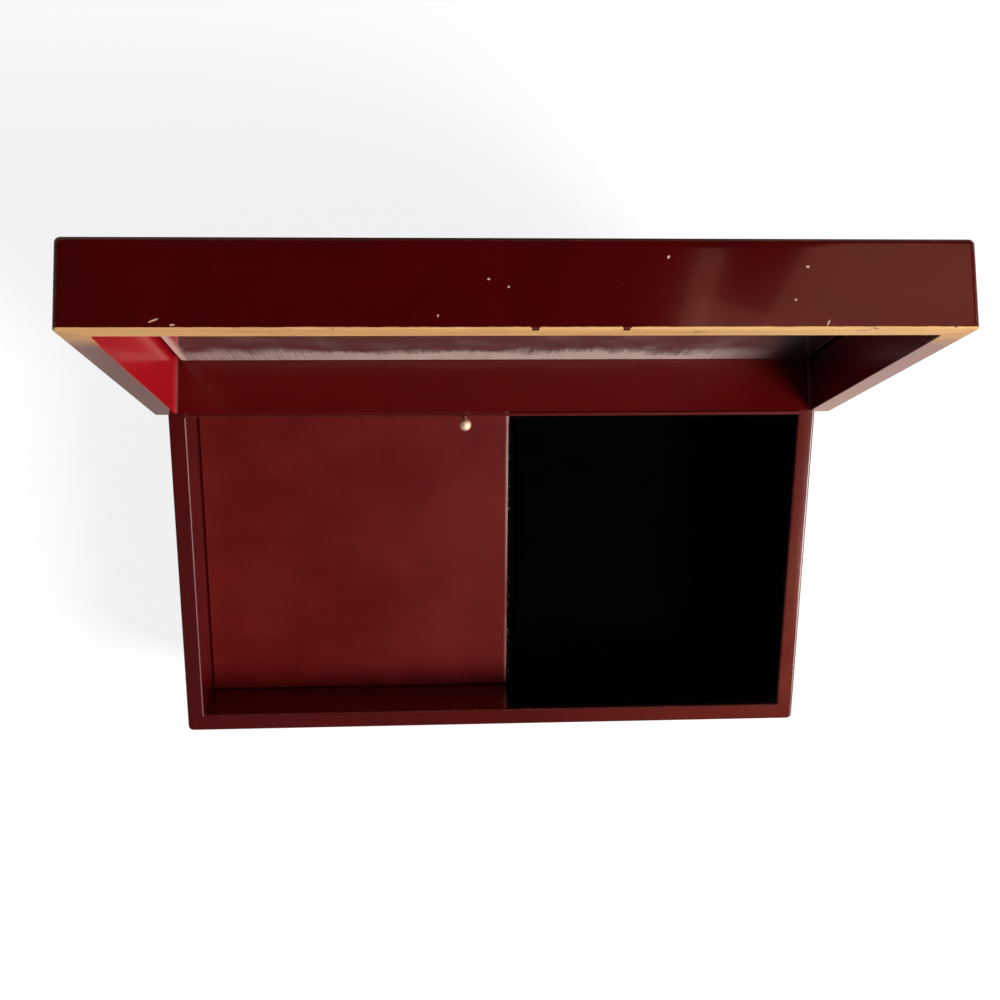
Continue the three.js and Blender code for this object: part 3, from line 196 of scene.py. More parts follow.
class Nodes:
    """A node tree that grows as values are asked of it."""

    def __init__(self, tree):
        self.tree = tree
        self.tree.nodes.clear()
        self._place = None

    def node(self, kind, settings=None, inputs=None):
        """One node of that kind: first its settings, then its sockets' values or links."""
        made = self.tree.nodes.new(kind)
        for key, value in (settings or {}).items():
            setattr(made, key, value)
        for key, value in (inputs or {}).items():
            self.feed(made.inputs[key], value)
        return made

    def feed(self, socket, value):
        """Links a value that varies to a socket, or sets one that doesn't."""
        if isinstance(value, Amount):
            value = value.socket
        if isinstance(value, bpy.types.NodeSocket):
            self.tree.links.new(value, socket)
        elif socket.type == "RGBA":
            socket.default_value = (*value[:3], 1.0)
        else:
            socket.default_value = value

    def math(self, operation, *values):
        """The outcome of a Math node."""
        node = self.node("ShaderNodeMath", {"operation": operation})
        for socket, value in zip(node.inputs, values):
            self.feed(socket, value)
        return Amount(self, node.outputs[0])

    def vector(self, operation, *values, **inputs):
        """A Vector Math node."""
        node = self.node("ShaderNodeVectorMath", {"operation": operation}, inputs)
        for socket, value in zip(node.inputs, values):
            self.feed(socket, value)
        return node

    def dot(self, vector, direction):
        """How far a vector goes along a direction."""
        node = self.vector("DOT_PRODUCT", vector, tuple(direction))
        return Amount(self, node.outputs["Value"])

    def length(self, vector):
        """How long a vector is."""
        return Amount(self, self.vector("LENGTH", vector).outputs["Value"])

    @property
    def place(self):
        """Where a point is, in mm in the object's own frame."""
        if self._place is None:
            coordinates = self.node("ShaderNodeTexCoord")
            scaled = self.vector("SCALE", coordinates.outputs["Object"], Scale=1 / MM)
            self._place = scaled.outputs["Vector"]
        return self._place

    def along(self, direction, origin=(0, 0, 0)):
        """How far a point lies along a direction, in mm, from an origin given in metres."""
        moved = self.vector("SUBTRACT", self.place, tuple(c / MM for c in origin))
        return self.dot(moved.outputs[0], direction)

    def place_in_lid(self):
        """Where a point is in the lid's own frame, in mm from the middle of the hinge axis."""
        axes = {"X": ACROSS, "Y": LID_BACKWARD, "Z": LID_UPWARD}
        parts = {name: self.along(axis, (0, *HINGE[1:])) for name, axis in axes.items()}
        return self.node("ShaderNodeCombineXYZ", {}, parts).outputs[0]

    def spread(self, size, stretch, shift):
        """The place moved by a shift and measured in patches of a size, stretched on each axis."""
        moved = self.vector("ADD", self.place, shift)
        return self.vector("DIVIDE", moved.outputs[0], tuple(size * s for s in stretch)).outputs[0]

    def noise(self, size, detail=3.0, rough=0.5, stretch=(1, 1, 1), shift=(0, 0, 0), twist=0.0):
        """Cloudy variation about 0.5, with patches of that size in mm."""
        inputs = {
            "Vector": self.spread(size, stretch, shift),
            "Scale": 1.0,
            "Detail": detail,
            "Roughness": rough,
            "Distortion": twist,
        }
        return Amount(self, self.node("ShaderNodeTexNoise", {}, inputs).outputs["Fac"])

    def specks(self, size, share, shift=(0, 0, 0), stretch=(1, 1, 1)):
        """A mask of small scattered specks: mm between them, and the share that one takes up."""
        inputs = {"Vector": self.spread(size, stretch, shift), "Scale": 1.0}
        cells = Amount(self, self.node("ShaderNodeTexVoronoi", {}, inputs).outputs["Distance"])
        rarity = self.noise(size * 2.5, 1.0, shift=shift).step(0.5, 0.62)
        return cells.step(share, share * 0.5) * rarity

    def mix(self, factor, a, b, blend="MIX"):
        """Colour a where the factor is 0 and b where it is 1."""
        node = self.node("ShaderNodeMix", {"data_type": "RGBA", "blend_type": blend})
        factor_socket, a_socket, b_socket, colour_output = 0, 6, 7, 2
        for index, value in ((factor_socket, factor), (a_socket, a), (b_socket, b)):
            self.feed(node.inputs[index], value)
        return node.outputs[colour_output]

    def tinted(self, colour, tint):
        """A colour seen through a tint."""
        return self.mix(1.0, colour, tint, "MULTIPLY")

    def grey(self, level):
        """A grey of that level."""
        parts = {name: level for name in ("Red", "Green", "Blue")}
        return self.node("ShaderNodeCombineColor", {}, parts).outputs[0]

    def ray_kinds(self):
        """Whether a surface is seen by the camera, and whether in a reflection or through glass."""
        paths = self.node("ShaderNodeLightPath")
        seen, mirrored, through = (
            Amount(self, paths.outputs[f"Is {kind} Ray"])
            for kind in ("Camera", "Glossy", "Transmission")
        )
        return seen, mirrored.most(through)


class Surface(Nodes):
    """A material with one Principled shader."""

    def __init__(self, name, **constants):
        self.material = bpy.data.materials.new(name)
        self.material.use_nodes = True
        super().__init__(self.material.node_tree)
        self.shader = self.node("ShaderNodeBsdfPrincipled")
        self.set(**constants)
        self.node("ShaderNodeOutputMaterial", {}, {"Surface": self.shader.outputs[0]})

    def set(self, **inputs):
        """Sets or links sockets of the shader, named with _ for each space."""
        for key, value in inputs.items():
            self.feed(self.shader.inputs[key.replace("_", " ")], value)

    def bump(self, height, depth=1.0):
        """Relief, in mm where the depth is 1."""
        node = self.node("ShaderNodeBump", {}, {"Distance": depth * MM, "Height": height})
        self.feed(self.shader.inputs["Normal"], node.outputs[0])

    def rounds(self, axes):
        """1 on rounded arrises and 0 on the faces square to the axes, to about 6 degrees."""
        normal = self.node("ShaderNodeTexCoord").outputs["Normal"]
        square = 0
        for axis in axes:
            square = abs(self.dot(normal, axis)).most(square)
        return square.step(0.995, 0.95)


# Finishes


def lacquer(
    name, axes, shade, clear, gloss=0.08, coat=0.3, level=0.5, mottle=0.5, wave=0.012,
    bare=None, chips=None, tint=None,
):
    """Red lacquer over wood, cloudy in its depth, with dust nibs, hairlines and soft worn arrises.

    The piece's faces are square to the axes. bare and chips are functions that give, for the
    surface, the masks of bare wood and of small chips; tint gives a mask, the colour there and
    how much duller it is.
    """
    surface = Surface(
        name, IOR=1.5, Specular_IOR_Level=level, Specular_Tint=(1.0, 0.86, 0.84),
        Coat_Roughness=0.04,
    )
    large_clouds, small_clouds = surface.noise(34, twist=0.4), surface.noise(9, 2)
    cloud = (large_clouds * 0.8 + small_clouds * 0.2).step(0.34, 0.66)
    grain = surface.noise(1.8, 5, 0.6, stretch=(16, 1, 1)).step(0.35, 0.75)
    dust = surface.specks(6, 0.03, shift=(3, 11, 5))
    hairlines = surface.noise(0.7, 2, stretch=(1, 40, 1), shift=(5, 5, 5)).step(0.66, 0.8)
    arris = surface.rounds(axes)
    worn = arris * surface.noise(2.5, 4, 0.7).step(0.5, 0.7)
    smear = surface.noise(20, 3, 0.6, stretch=(2, 1, 1), shift=(40, 7, 0))
    swells, ripples = surface.noise(9, 2, 0.4, shift=(1, 2, 3)), surface.noise(1.6, 1, 0.4)

    colour = surface.mix(cloud * mottle + grain * 0.12, clear, shade)
    colour = surface.mix(worn * 0.2, colour, WORN_ARRIS)
    colour = surface.mix(dust * 0.5, colour, DUST)
    rough = gloss + smear * (gloss * 0.6) + hairlines * 0.06 + arris * 0.3 + dust * 0.3
    topcoat = coat - arris * coat
    height = swells * wave + ripples * (wave * 0.08) + dust * 0.02 - hairlines * 0.0008
    if tint:
        mask, tone, dulling = tint(surface)
        colour = surface.mix(mask * (0.85 + smear * 0.15), colour, tone)
        rough = rough + mask * dulling
        topcoat = topcoat - mask * coat
    if chips:
        broken = chips(surface)
        ground = surface.noise(0.5, 3, 0.6).step(0.35, 0.65)
        colour = surface.mix(broken, colour, surface.mix(ground, CHIP_PALE, CHIP_DEEP))
        rough = rough + broken * 0.5
        topcoat = topcoat - broken * coat
        height = height - broken * 0.05
    if bare:
        worn_off = bare(surface)
        wood, fibres = wood_tone(surface, 0.8)
        colour = surface.mix(worn_off, colour, wood)
        rough = rough + worn_off * 0.45
        topcoat = topcoat - worn_off * coat
        height = height + fibres * worn_off * 0.02 - worn_off * 0.03
    surface.set(Base_Color=colour, Roughness=rough, Coat_Weight=topcoat)
    surface.bump(height)
    return surface


def wood_tone(surface, size=1.0):
    """Colour of pale wood with long fine grain, and the height of its fibres."""
    rings = surface.noise(5 * size, 3, 0.55, stretch=(14, 1, 1), twist=0.6)
    fibres = surface.noise(0.45 * size, 4, 0.7, stretch=(28, 1, 1), shift=(5, 0, 9))
    pores = surface.noise(0.3 * size, 2, stretch=(18, 1, 1), shift=(0, 30, 2))
    pores = pores.step(0.62, 0.7)
    colour = surface.mix((rings * 0.6 + fibres * 0.55).step(0.3, 0.85), WOOD_PALE, WOOD_DEEP)
    colour = surface.mix(pores * 0.4, colour, WOOD_PORE)
    return colour, fibres - pores


def plain_wood(name, tint):
    """Wood or card without a finish, lightly stained."""
    surface = Surface(name, IOR=1.45)
    colour, fibres = wood_tone(surface)
    stain = surface.noise(30, shift=(9, 2, 4))
    colour = surface.mix(stain.step(0.5, 0.9) * 0.3, surface.tinted(colour, tint), WOOD_STAIN)
    surface.set(Base_Color=colour, Roughness=0.6 + stain * 0.2)
    surface.bump(fibres, 0.04)
    return surface


def front_rim(surface):
    """Bare wood on the lid's front rim, its edge ragged where lacquer has chipped or run."""
    height = surface.along(LID_UPWARD, HINGE) - LID_RIM
    ragged = surface.noise(1.5, 4, 0.7, stretch=(3, 1, 1), shift=(2, 2, 2)) - 0.5
    runs = surface.noise(4, 3, 0.7, stretch=(2, 1, 1), shift=(7, 1, 3)).step(0.64, 0.7)
    outside = (surface.along(LID_BACKWARD, HINGE) - LID_FRONT).step(2.6, 1.6)
    for across in RIM_NICKS:
        nick = abs(surface.along(ACROSS) - across).step(1.4, 0.6)
        runs = (nick * outside * 1.3).most(runs)
    return (height + ragged * 0.45 + runs * 0.55).step(0.56, 0.46)


def side_rim(surface):
    """Lacquer rubbed thin along the side rims, and through to the wood near the lid's front."""
    height = surface.along(LID_UPWARD, HINGE) - LID_RIM
    ragged = surface.noise(1.5, 4, 0.7, stretch=(1, 2, 2), shift=(2, 2, 2)) - 0.5
    from_front = surface.along(LID_BACKWARD, HINGE) - LID_FRONT
    return (height + ragged * 0.3).step(0.42, 0.3) * from_front.step(22, 8) * 0.8


def front_chips(surface):
    """The chips of the lid's front, irregular in outline."""
    place = surface.place_in_lid()
    ragged = surface.noise(0.45, 3, 0.7) - 0.5
    broken = 0
    for across, height, half_length, half_width, slope in FRONT_CHIPS:
        shape = {
            "Vector": place,
            "Location": (across, LID_FRONT, LID_RIM + height),
            "Rotation": (0, math.radians(-slope), 0),
            "Scale": (half_length, half_length, half_width),
        }
        scaled = surface.node("ShaderNodeMapping", {"vector_type": "TEXTURE"}, shape).outputs[0]
        broken = (surface.length(scaled) + ragged * 0.9).step(1.0, 0.8).most(broken)
    return broken


def side_insides_painted_light(surface):
    """The lid's inner side faces: the left one a bright red of painted light, the right one a deep
    red.
    """
    across = surface.along(ACROSS)
    inside = (LID_HALF_WIDTH / MM - abs(across)).step(6.6, 7.2)
    before_hinge = surface.along(LID_BACKWARD, HINGE).step(-2, -4)
    tone = surface.mix(across.step(1, -1), LID_RIGHT_INSIDE, LID_LEFT_INSIDE_PAINTED_LIGHT)
    return inside * before_hinge, tone, 0.1


def back_inside(surface):
    """The duller inner face of the lid's back rail."""
    inside = surface.along(LID_BACKWARD, HINGE) - LID_BACK_INSIDE
    return inside.step(0.8, 0.2), LID_BACK_RED, 0.12


def right_rim_painted_reflection(surface):
    """A lighter, browner stretch of the case's right rim towards its front: a painted reflection.
    """
    on_rim = surface.along(ACROSS, (CASE_HALF_WIDTH, 0, 0)).step(-8, -7)
    on_rim = on_rim * surface.along(UPWARD, (0, 0, RIM_HEIGHT)).step(-1, -0.5)
    backward = surface.along(BACKWARD)
    stretch = backward.step(-15, -40) * backward.step(-92, -80)
    patchy = surface.noise(14, 3, 0.6, shift=(2, 8, 3)).step(0.3, 0.6)
    return on_rim * stretch * patchy * 0.6, RIM_PAINTED_REFLECTION, 0.0


def cover_edge_painted_highlight(surface):
    """The pale edge of the cover beside the compartment, palest at the back: a painted highlight
    along its rounded edge, patchy like rubbed wear.
    """
    at_edge = surface.along(ACROSS, (COVER_RIGHT, 0, 0)).step(-1.3, -0.4)
    patchy = surface.noise(4, 4, 0.6, stretch=(1, 5, 1)).step(0.25, 0.6)
    towards_back = surface.along(BACKWARD).step(-60, 10)
    # Painted highlight along the edge, palest towards the back
    rubbed = at_edge * (patchy * 0.5 + 0.2) * (towards_back * 0.65 + 0.35)
    return rubbed, COVER_EDGE_PAINTED_HIGHLIGHT, 0.1


def velvet_finish(name):
    """Short black pile that lies in brushed patches, with pale lint, most of it by the cover."""
    surface = Surface(
        name, IOR=1.35, Specular_IOR_Level=0.02,
        Sheen_Weight=0.006, Sheen_Roughness=0.45, Sheen_Tint=(0.5, 0.5, 0.55),
    )
    nap = surface.noise(14, 3, 0.6, twist=0.8).step(0.3, 0.7)
    pile = surface.noise(0.22, 2, 0.6)
    near_cover = surface.along(ACROSS, (COVER_RIGHT, 0, 0)).step(2.6, 1.2)
    along_top = surface.along(UPWARD, (0, 0, LINING_TOP)).step(-2.5, -0.5)
    lint = surface.specks(9, 0.03, shift=(13, 4, 8), stretch=(0.6, 1.4, 1)) * 0.3
    fluff = surface.noise(1.1, 3, 0.6, stretch=(0.5, 1.6, 1), shift=(3, 9, 1)).step(0.6, 0.68)
    fluff = fluff * near_cover * along_top
    colour = surface.mix(nap, NAP_DARK, NAP_BRUSHED)
    colour = surface.mix(pile.step(0.5, 0.8) * 0.4, colour, PILE_TIPS)
    colour = surface.mix(lint.most(fluff * 0.35), colour, LINT)
    surface.set(Base_Color=colour, Roughness=0.9 + nap * 0.1)
    surface.bump(pile + nap * 0.3, 0.1)
    return surface


def mirror_finish(name):
    """Silvered glass, a little dusty, with the silver flaked off towards its hinge-side edge."""
    surface = Surface(name)
    half_width = MIRROR_HALF_WIDTH / MM
    from_heel = MIRROR_HEEL - surface.along(LID_BACKWARD, HINGE)
    across = surface.along(ACROSS)
    rag = surface.noise(2.2, 4, 0.7, stretch=(0.7, 14, 14)) - 0.5
    streaks = surface.noise(0.9, 3, 0.6, stretch=(0.6, 24, 24), shift=(3, 3, 3)).step(0.3, 0.7)
    patches = surface.noise(26, 2, shift=(8, 1, 1)).step(0.35, 0.6)
    ends = across.step(100, 60) * (across.step(-110, -30) * 0.4 + 0.6)
    flaked = (from_heel + rag * 11 - patches * 7).step(15, 2) * (streaks * 0.3 + 0.7) * ends
    side_edges = (half_width - abs(across) + rag * 1.2).step(0.7, 0.3)
    left_end = (across + half_width + rag * 2).step(4.5, 1)
    heel_edge = (from_heel + rag * 1.5).step(0.8, 0.3) * 0.4
    dull = flaked.most(side_edges.most(left_end).most(heel_edge))
    dusty = surface.noise(12, 4, 0.6, shift=(4, 4, 4)).step(0.4, 0.8)
    film = dusty * 0.09 + 0.06
    silver = surface.mix(film * 1.3, SILVER, SILVER_FILM)
    surface.set(
        Base_Color=surface.mix(dull, silver, SILVER_FLAKED),
        Metallic=1 - film - dull * 0.75,
        Roughness=0.03 + dusty * 0.08 + dull * 0.4,
    )
    surface.bump(dull, 0.008)
    return surface


def metal(name, bright, dull, rough=0.28, size=1.0, axis=(1, 1, 1), tarnish=0.5):
    """Machined metal with fine tool lines, a little tarnish and oil."""
    surface = Surface(name, Metallic=1.0)
    lines = surface.noise(0.25 * size, 3, 0.6, stretch=axis)
    stain = surface.noise(4 * size, 4, 0.6, shift=(6, 3, 1)).step(0.45, 0.75)
    surface.set(
        Base_Color=surface.mix(stain * tarnish, bright, dull),
        Roughness=rough + stain * 0.15 + lines * 0.1,
    )
    surface.bump(lines, 0.008)
    return surface


def dress(piece, surface):
    """Gives a piece its finish, and shades its rounds smooth."""
    piece.data.materials.clear()
    piece.data.materials.append(surface.material)
    for polygon in piece.data.polygons:
        polygon.use_smooth = True
    if "custom_normal" in piece.data.attributes:
        piece.data.attributes.remove(piece.data.attributes["custom_normal"])
    piece.modifiers.new("Smooth rounds", "NODES").node_group = smoothing_group()
    piece.modifiers.new("Even flats", "WEIGHTED_NORMAL").keep_sharp = True


def dress_nodes(surface, *names):
    """Gives nodes of the frame their finish."""
    for name in names:
        dress(frame["nodes"][name], surface)


def smoothing_group():
    """The node group that joins coincident points, shades facets smooth and keeps corners crisp."""
    name = "Smooth rounds"
    if name in bpy.data.node_groups:
        return bpy.data.node_groups[name]
    sharp_angle = math.radians(32)
    join_distance = 0.002 * MM
    group = bpy.data.node_groups.new(name, "GeometryNodeTree")
    nodes = Nodes(group)
    for way in ("INPUT", "OUTPUT"):
        group.interface.new_socket("Geometry", in_out=way, socket_type="NodeSocketGeometry")
    start = nodes.node("NodeGroupInput").outputs[0]
    joined = nodes.node(
        "GeometryNodeMergeByDistance", {}, {"Geometry": start, "Distance": join_distance},
    )
    faces = nodes.node("GeometryNodeSetShadeSmooth", {}, {"Geometry": joined.outputs[0]})
    angle = nodes.node("GeometryNodeInputMeshEdgeAngle").outputs["Unsigned Angle"]
    flat = nodes.node(
        "FunctionNodeCompare", {"operation": "LESS_THAN"}, {"A": angle, "B": sharp_angle},
    )
    edges = nodes.node(
        "GeometryNodeSetShadeSmooth", {"domain": "EDGE"},
        {"Geometry": faces.outputs[0], "Shade Smooth": flat.outputs[0]},
    )
    nodes.node("NodeGroupOutput", {}, {0: edges.outputs[0]})
    return group


# Settings that a user would change


def colour_setting(name, description, default):
    """A colour that the panel shows as a swatch."""
    return bpy.props.FloatVectorProperty(
        name=name, description=description, subtype="COLOR", size=3, min=0, max=1,
        default=default,
    )


class JewelryBoxFinish(bpy.types.PropertyGroup):
    """Colours of the lacquer and the brass"""

    lacquer_shade: colour_setting(
        "Lacquer shade", "Darkest red of the lacquer", (0.04, 0.0007, 0.0008))
    lacquer_clear: colour_setting(
        "Lacquer", "Clear red of the lacquer", (0.07, 0.001, 0.001))
    cover_shade: colour_setting(
        "Cover shade", "Darker patches of the movement cover", (0.084, 0.001, 0.0009))
    cover_clear: colour_setting(
        "Cover", "Red of the movement cover", (0.114, 0.0045, 0.0035))
    brass: colour_setting("Brass", "Bright brass", (0.66, 0.44, 0.2))
    brass_dull: colour_setting("Brass tarnish", "Tarnished brass", (0.34, 0.19, 0.08))


class JewelryBoxVelvet(bpy.types.PropertyGroup):
    """Sizes of the velvet's unevenness"""

    pad_cell: bpy.props.FloatProperty(
        name="Pad cell", description="Size of the cells that the pad's cover is made of",
        unit="LENGTH", min=0.001, max=0.006, default=0.002)
    pad_swell: bpy.props.FloatProperty(
        name="Pad swell", description="The most that the pad's cover may stand off its form",
        unit="LENGTH", min=0, max=0.004, default=0.0012)
    lining_puff: bpy.props.FloatProperty(
        name="Lining puff", description="How unevenly the velvet lies on its card",
        unit="LENGTH", min=0, max=0.001, default=0.0003)


class JewelryBoxStage(bpy.types.PropertyGroup):
    """The camera's lens, and the light and the ground round the box"""

    lens: bpy.props.FloatProperty(
        name="Lens", description="Focal length of the camera, in mm",
        subtype="DISTANCE_CAMERA", min=10, max=200, default=45.76)
    key_power: bpy.props.FloatProperty(
        name="Key light", description="Power of the large light at the right and in front",
        unit="POWER", min=0, max=100, default=27.0)
    window_power: bpy.props.FloatProperty(
        name="Window light", description="Power of the faint light at the right and behind",
        unit="POWER", min=0, max=10, default=0.31)
    ambient: bpy.props.FloatProperty(
        name="Ambient", description="Strength of the even light from all round",
        min=0, max=2, default=0.12)
    backdrop: colour_setting(
        "Backdrop", "Colour of the floor and of what lies beyond it", (1.0, 1.0, 1.0))


# Operators


class PlaceCamera(bpy.types.Operator):
    """Place the camera over the box, looking down from a little behind its middle"""

    bl_idname = "jewelry_box.camera"
    bl_label = "Camera"

    def execute(self, context):
        data = bpy.data.cameras.new("View")
        data.sensor_width = 36
        data.lens = context.scene.jewelry_box_stage.lens
        data.clip_start, data.clip_end = 0.01, 20
        camera = link(bpy.data.objects.new("View", data))
        across, backward, upward = VIEW_PLACE
        place = (across * MM, CASE_FRONT + backward * MM, RIM_HEIGHT + upward * MM)
        turn = Matrix(VIEW_AXES).transposed().to_4x4()
        camera.matrix_world = Matrix.Translation(place) @ turn
        context.scene.camera = camera
        return {"FINISHED"}


class FinishCase(bpy.types.Operator):
    """Lacquer the case's walls and the movement cover, and leave its inner boards plain"""

    bl_idname = "jewelry_box.case"
    bl_label = "Case"

    def execute(self, context):
        finish = context.scene.jewelry_box_finish
        shade, clear = finish.lacquer_shade, finish.lacquer_clear
        # The walls' tint on the right rim is a painted reflection
        walls = lacquer("Wall lacquer", CASE_AXES, shade, clear, mottle=0.3, tint=right_rim_painted_reflection)
        # The cover's tint along its edge is a painted highlight
        cover = lacquer(
            "Cover lacquer", CASE_AXES, finish.cover_shade, finish.cover_clear,
            gloss=0.36, coat=0.0, level=0.17, mottle=0.9, wave=0.006, tint=cover_edge_painted_highlight,
        )
        board = plain_wood("Bottom board", (0.8, 0.78, 0.72))
        ledges = plain_wood("Ledge wood", (0.9, 0.85, 0.8))
        dress_nodes(walls, *(f"case_{side}_wall" for side in ("front", "back", "left", "right")))
        dress_nodes(cover, "movement_cover")
        dress_nodes(board, "bottom_board", "compartment_divider")
        dress_nodes(ledges, *(f"cover_ledge_{side}" for side in ("front", "back", "left")))
        return {"FINISHED"}


class FinishLid(bpy.types.Operator):
    """Lacquer the lid, with bare wood on its front rim and a few chips, and silver its mirror"""

    bl_idname = "jewelry_box.lid"
    bl_label = "Lid"

    def execute(self, context):
        finish = context.scene.jewelry_box_finish
        reds = LID_AXES, finish.lacquer_shade, finish.lacquer_clear
        front = lacquer("Lid front lacquer", *reds, bare=front_rim, chips=front_chips)
        # The side rails carry painted light on the left rail's inner face
        sides = lacquer("Lid side lacquer", *reds, bare=side_rim, tint=side_insides_painted_light)
        dress_nodes(front, "lid_front_rail")
        dress_nodes(sides, "lid_left_rail", "lid_right_rail")
        dress_nodes(lacquer("Lid back lacquer", *reds, tint=back_inside), "lid_back_rail")
        dress_nodes(lacquer("Lid top lacquer", *reds), "lid_top_panel")
        dress_nodes(mirror_finish("Mirror"), "lid_mirror")
        dress_nodes(plain_wood("Card", (0.6, 0.62, 0.66)), "mirror_backing_card")
        return {"FINISHED"}


class FinishMetalwork(bpy.types.Operator):
    """Give the hinges, the stop pin and the music movement their metals"""

    bl_idname = "jewelry_box.metalwork"
    bl_label = "Metalwork"

    def execute(self, context):
        finish = context.scene.jewelry_box_finish
        bright, dull = finish.brass, finish.brass_dull
        brass = metal("Brass", bright, dull)
        dress_nodes(
            brass, "pinned_cylinder", "crown_pinion", "cylinder_gear", "governor_pinion",
            "worm_wheel", "governor_fly", "governor_bridge", "crown_wheel", "winding_key",
            "spring_drum",
        )
        for part in ("case_leaf", "lid_leaf", "pin"):
            dress_nodes(brass, *(f"hinge_{part}_{side}" for side in ("left", "right")))
        dress_nodes(
            metal("Stop pin brass", (1.0, 0.74, 0.56), bright, 0.6, 0.6, tarnish=0.12),
            "stop_pin_ball", "stop_pin_rod", "stop_arm",
        )
        steel = metal("Steel", (0.55, 0.56, 0.58), (0.33, 0.33, 0.34), 0.3)
        dress_nodes(
            steel, "cylinder_arbor", "governor_arbor", "governor_worm", "winding_arbor",
            "comb_screw_1", "comb_screw_2", "bridge_screw",
            *(f"movement_screw_{number}" for number in (1, 2, 3)),
        )
        dress_nodes(
            metal("Blued steel", (0.12, 0.15, 0.24), (0.08, 0.09, 0.12), 0.35), "mainspring",
        )
        dress_nodes(
            metal("Cast bedplate", (0.6, 0.57, 0.5), (0.42, 0.39, 0.33), 0.45, 2.0),
            "movement_bedplate",
        )
        dress_nodes(
            metal("Comb steel", (0.62, 0.63, 0.65), (0.4, 0.4, 0.42), 0.22, axis=(1, 12, 1)),
            "music_comb",
        )
        return_spring(steel)
        return {"FINISHED"}


def return_spring(steel):
    """The stop pin's spring under its arm: a steel copy of the frame's spring, attached to the case
    in its place.
    """
    low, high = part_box("stop_pin_spring")
    slide = next(joint for joint in frame["joints"] if joint["name"] == "stop_pin_slide")
    travel = -slide["range_m"][0]
    mesh = frame["nodes"]["stop_pin_spring"].data.copy()
    spring = link(bpy.data.objects.new("return_spring", mesh))
    dress(spring, steel)
    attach(spring, "case")
    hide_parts("stop_pin_spring")
    1 - travel / (high.z - low.z)
    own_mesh(spring)


class UpholsterCompartment(bpy.types.Operator):
    """Line the compartment with velvet and lay the soft pad on its floor"""

    bl_idname = "jewelry_box.velvet"
    bl_label = "Velvet"

    def execute(self, context):
        settings = context.scene.jewelry_box_velvet
        velvet = velvet_finish("Black velvet")
        for side in ("front", "back", "left", "right"):
            piece = line_side(side, settings.lining_puff)
            upholster(piece, velvet, f"velvet_lining_{side}")
        pad = soft_pad(settings)
        upholster(pad, velvet, "velvet_floor_pad")
        return {"FINISHED"}


def link(piece):
    """Puts an object into the scene."""
    bpy.context.scene.collection.objects.link(piece)
    return piece


def new_piece(name, build):
    """A mesh object from what has been built."""
    bmesh.ops.recalc_face_normals(build, faces=build.faces)
    mesh = bpy.data.meshes.new(name)
    build.to_mesh(mesh)
    build.free()
    return link(bpy.data.objects.new(name, mesh))


def upholster(piece, velvet, node):
    """Covers a piece with velvet, in the place of a node of the case."""
    piece.data.materials.append(velvet.material)
    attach(piece, "case")
    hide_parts(node)


def line_side(side, puff):
    """Velvet drawn over one card of the compartment's lining, soft and round along its top."""
    low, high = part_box(f"velvet_lining_{side}")
    across = 0 if side in ("front", "back") else 1
    through = 1 - across
    inward = 1 if side in ("front", "left") else -1
    back = low[through] if inward > 0 else high[through]
    thick = high[through] - low[through]
    columns, flat_rows, round_rows = 48, 26, 4
    round_from, edge_share = 0.97, 0.25
    build = bmesh.new()

    def point(share, rise, depth):
        made = Vector((0, 0, low.z + (high.z - low.z) * rise))
        made[across] = low[across] + (high[across] - low[across]) * share
        made[through] = back + inward * depth
        return build.verts.new(made)

    levels = [(round_from * row / flat_rows, 1.0) for row in range(flat_rows + 1)]
    for row in range(1, round_rows + 1):
        turn = row / round_rows * math.pi / 2
        rise = round_from + (1 - round_from) * math.sin(turn)
        levels.append((rise, edge_share + (1 - edge_share) * math.cos(turn)))
    grid = [[point(column / columns, 0, 0) for column in range(columns + 1)]]
    for rise, fullness in levels:
        line = []
        for column in range(columns + 1):
            share = column / columns
            # Two slow waves that never line up, and nothing at the foot, where the pad meets it
            wave = math.sin(share * 9.7 + rise * 4.1) * math.sin(rise * 7.3 + share * 3.9 + 1.2)
            hollow = puff * 0.5 * (1 + wave) * min(1.0, rise * 8)
            line.append(point(share, rise, (thick - hollow) * fullness))
        grid.append(line)
    grid.append([point(column / columns, 1, 0) for column in range(columns + 1)])
    for lower, upper in zip(grid, grid[1:] + grid[:1]):
        for column in range(columns):
            corners = lower[column], lower[column + 1], upper[column + 1], upper[column]
            build.faces.new(corners)
    for column in (0, columns):
        build.faces.new([line[column] for line in grid])
    piece = new_piece(f"velvet_side_{side}", build)
    for polygon in piece.data.polygons:
        polygon.use_smooth = len(polygon.vertices) == 4
    return piece


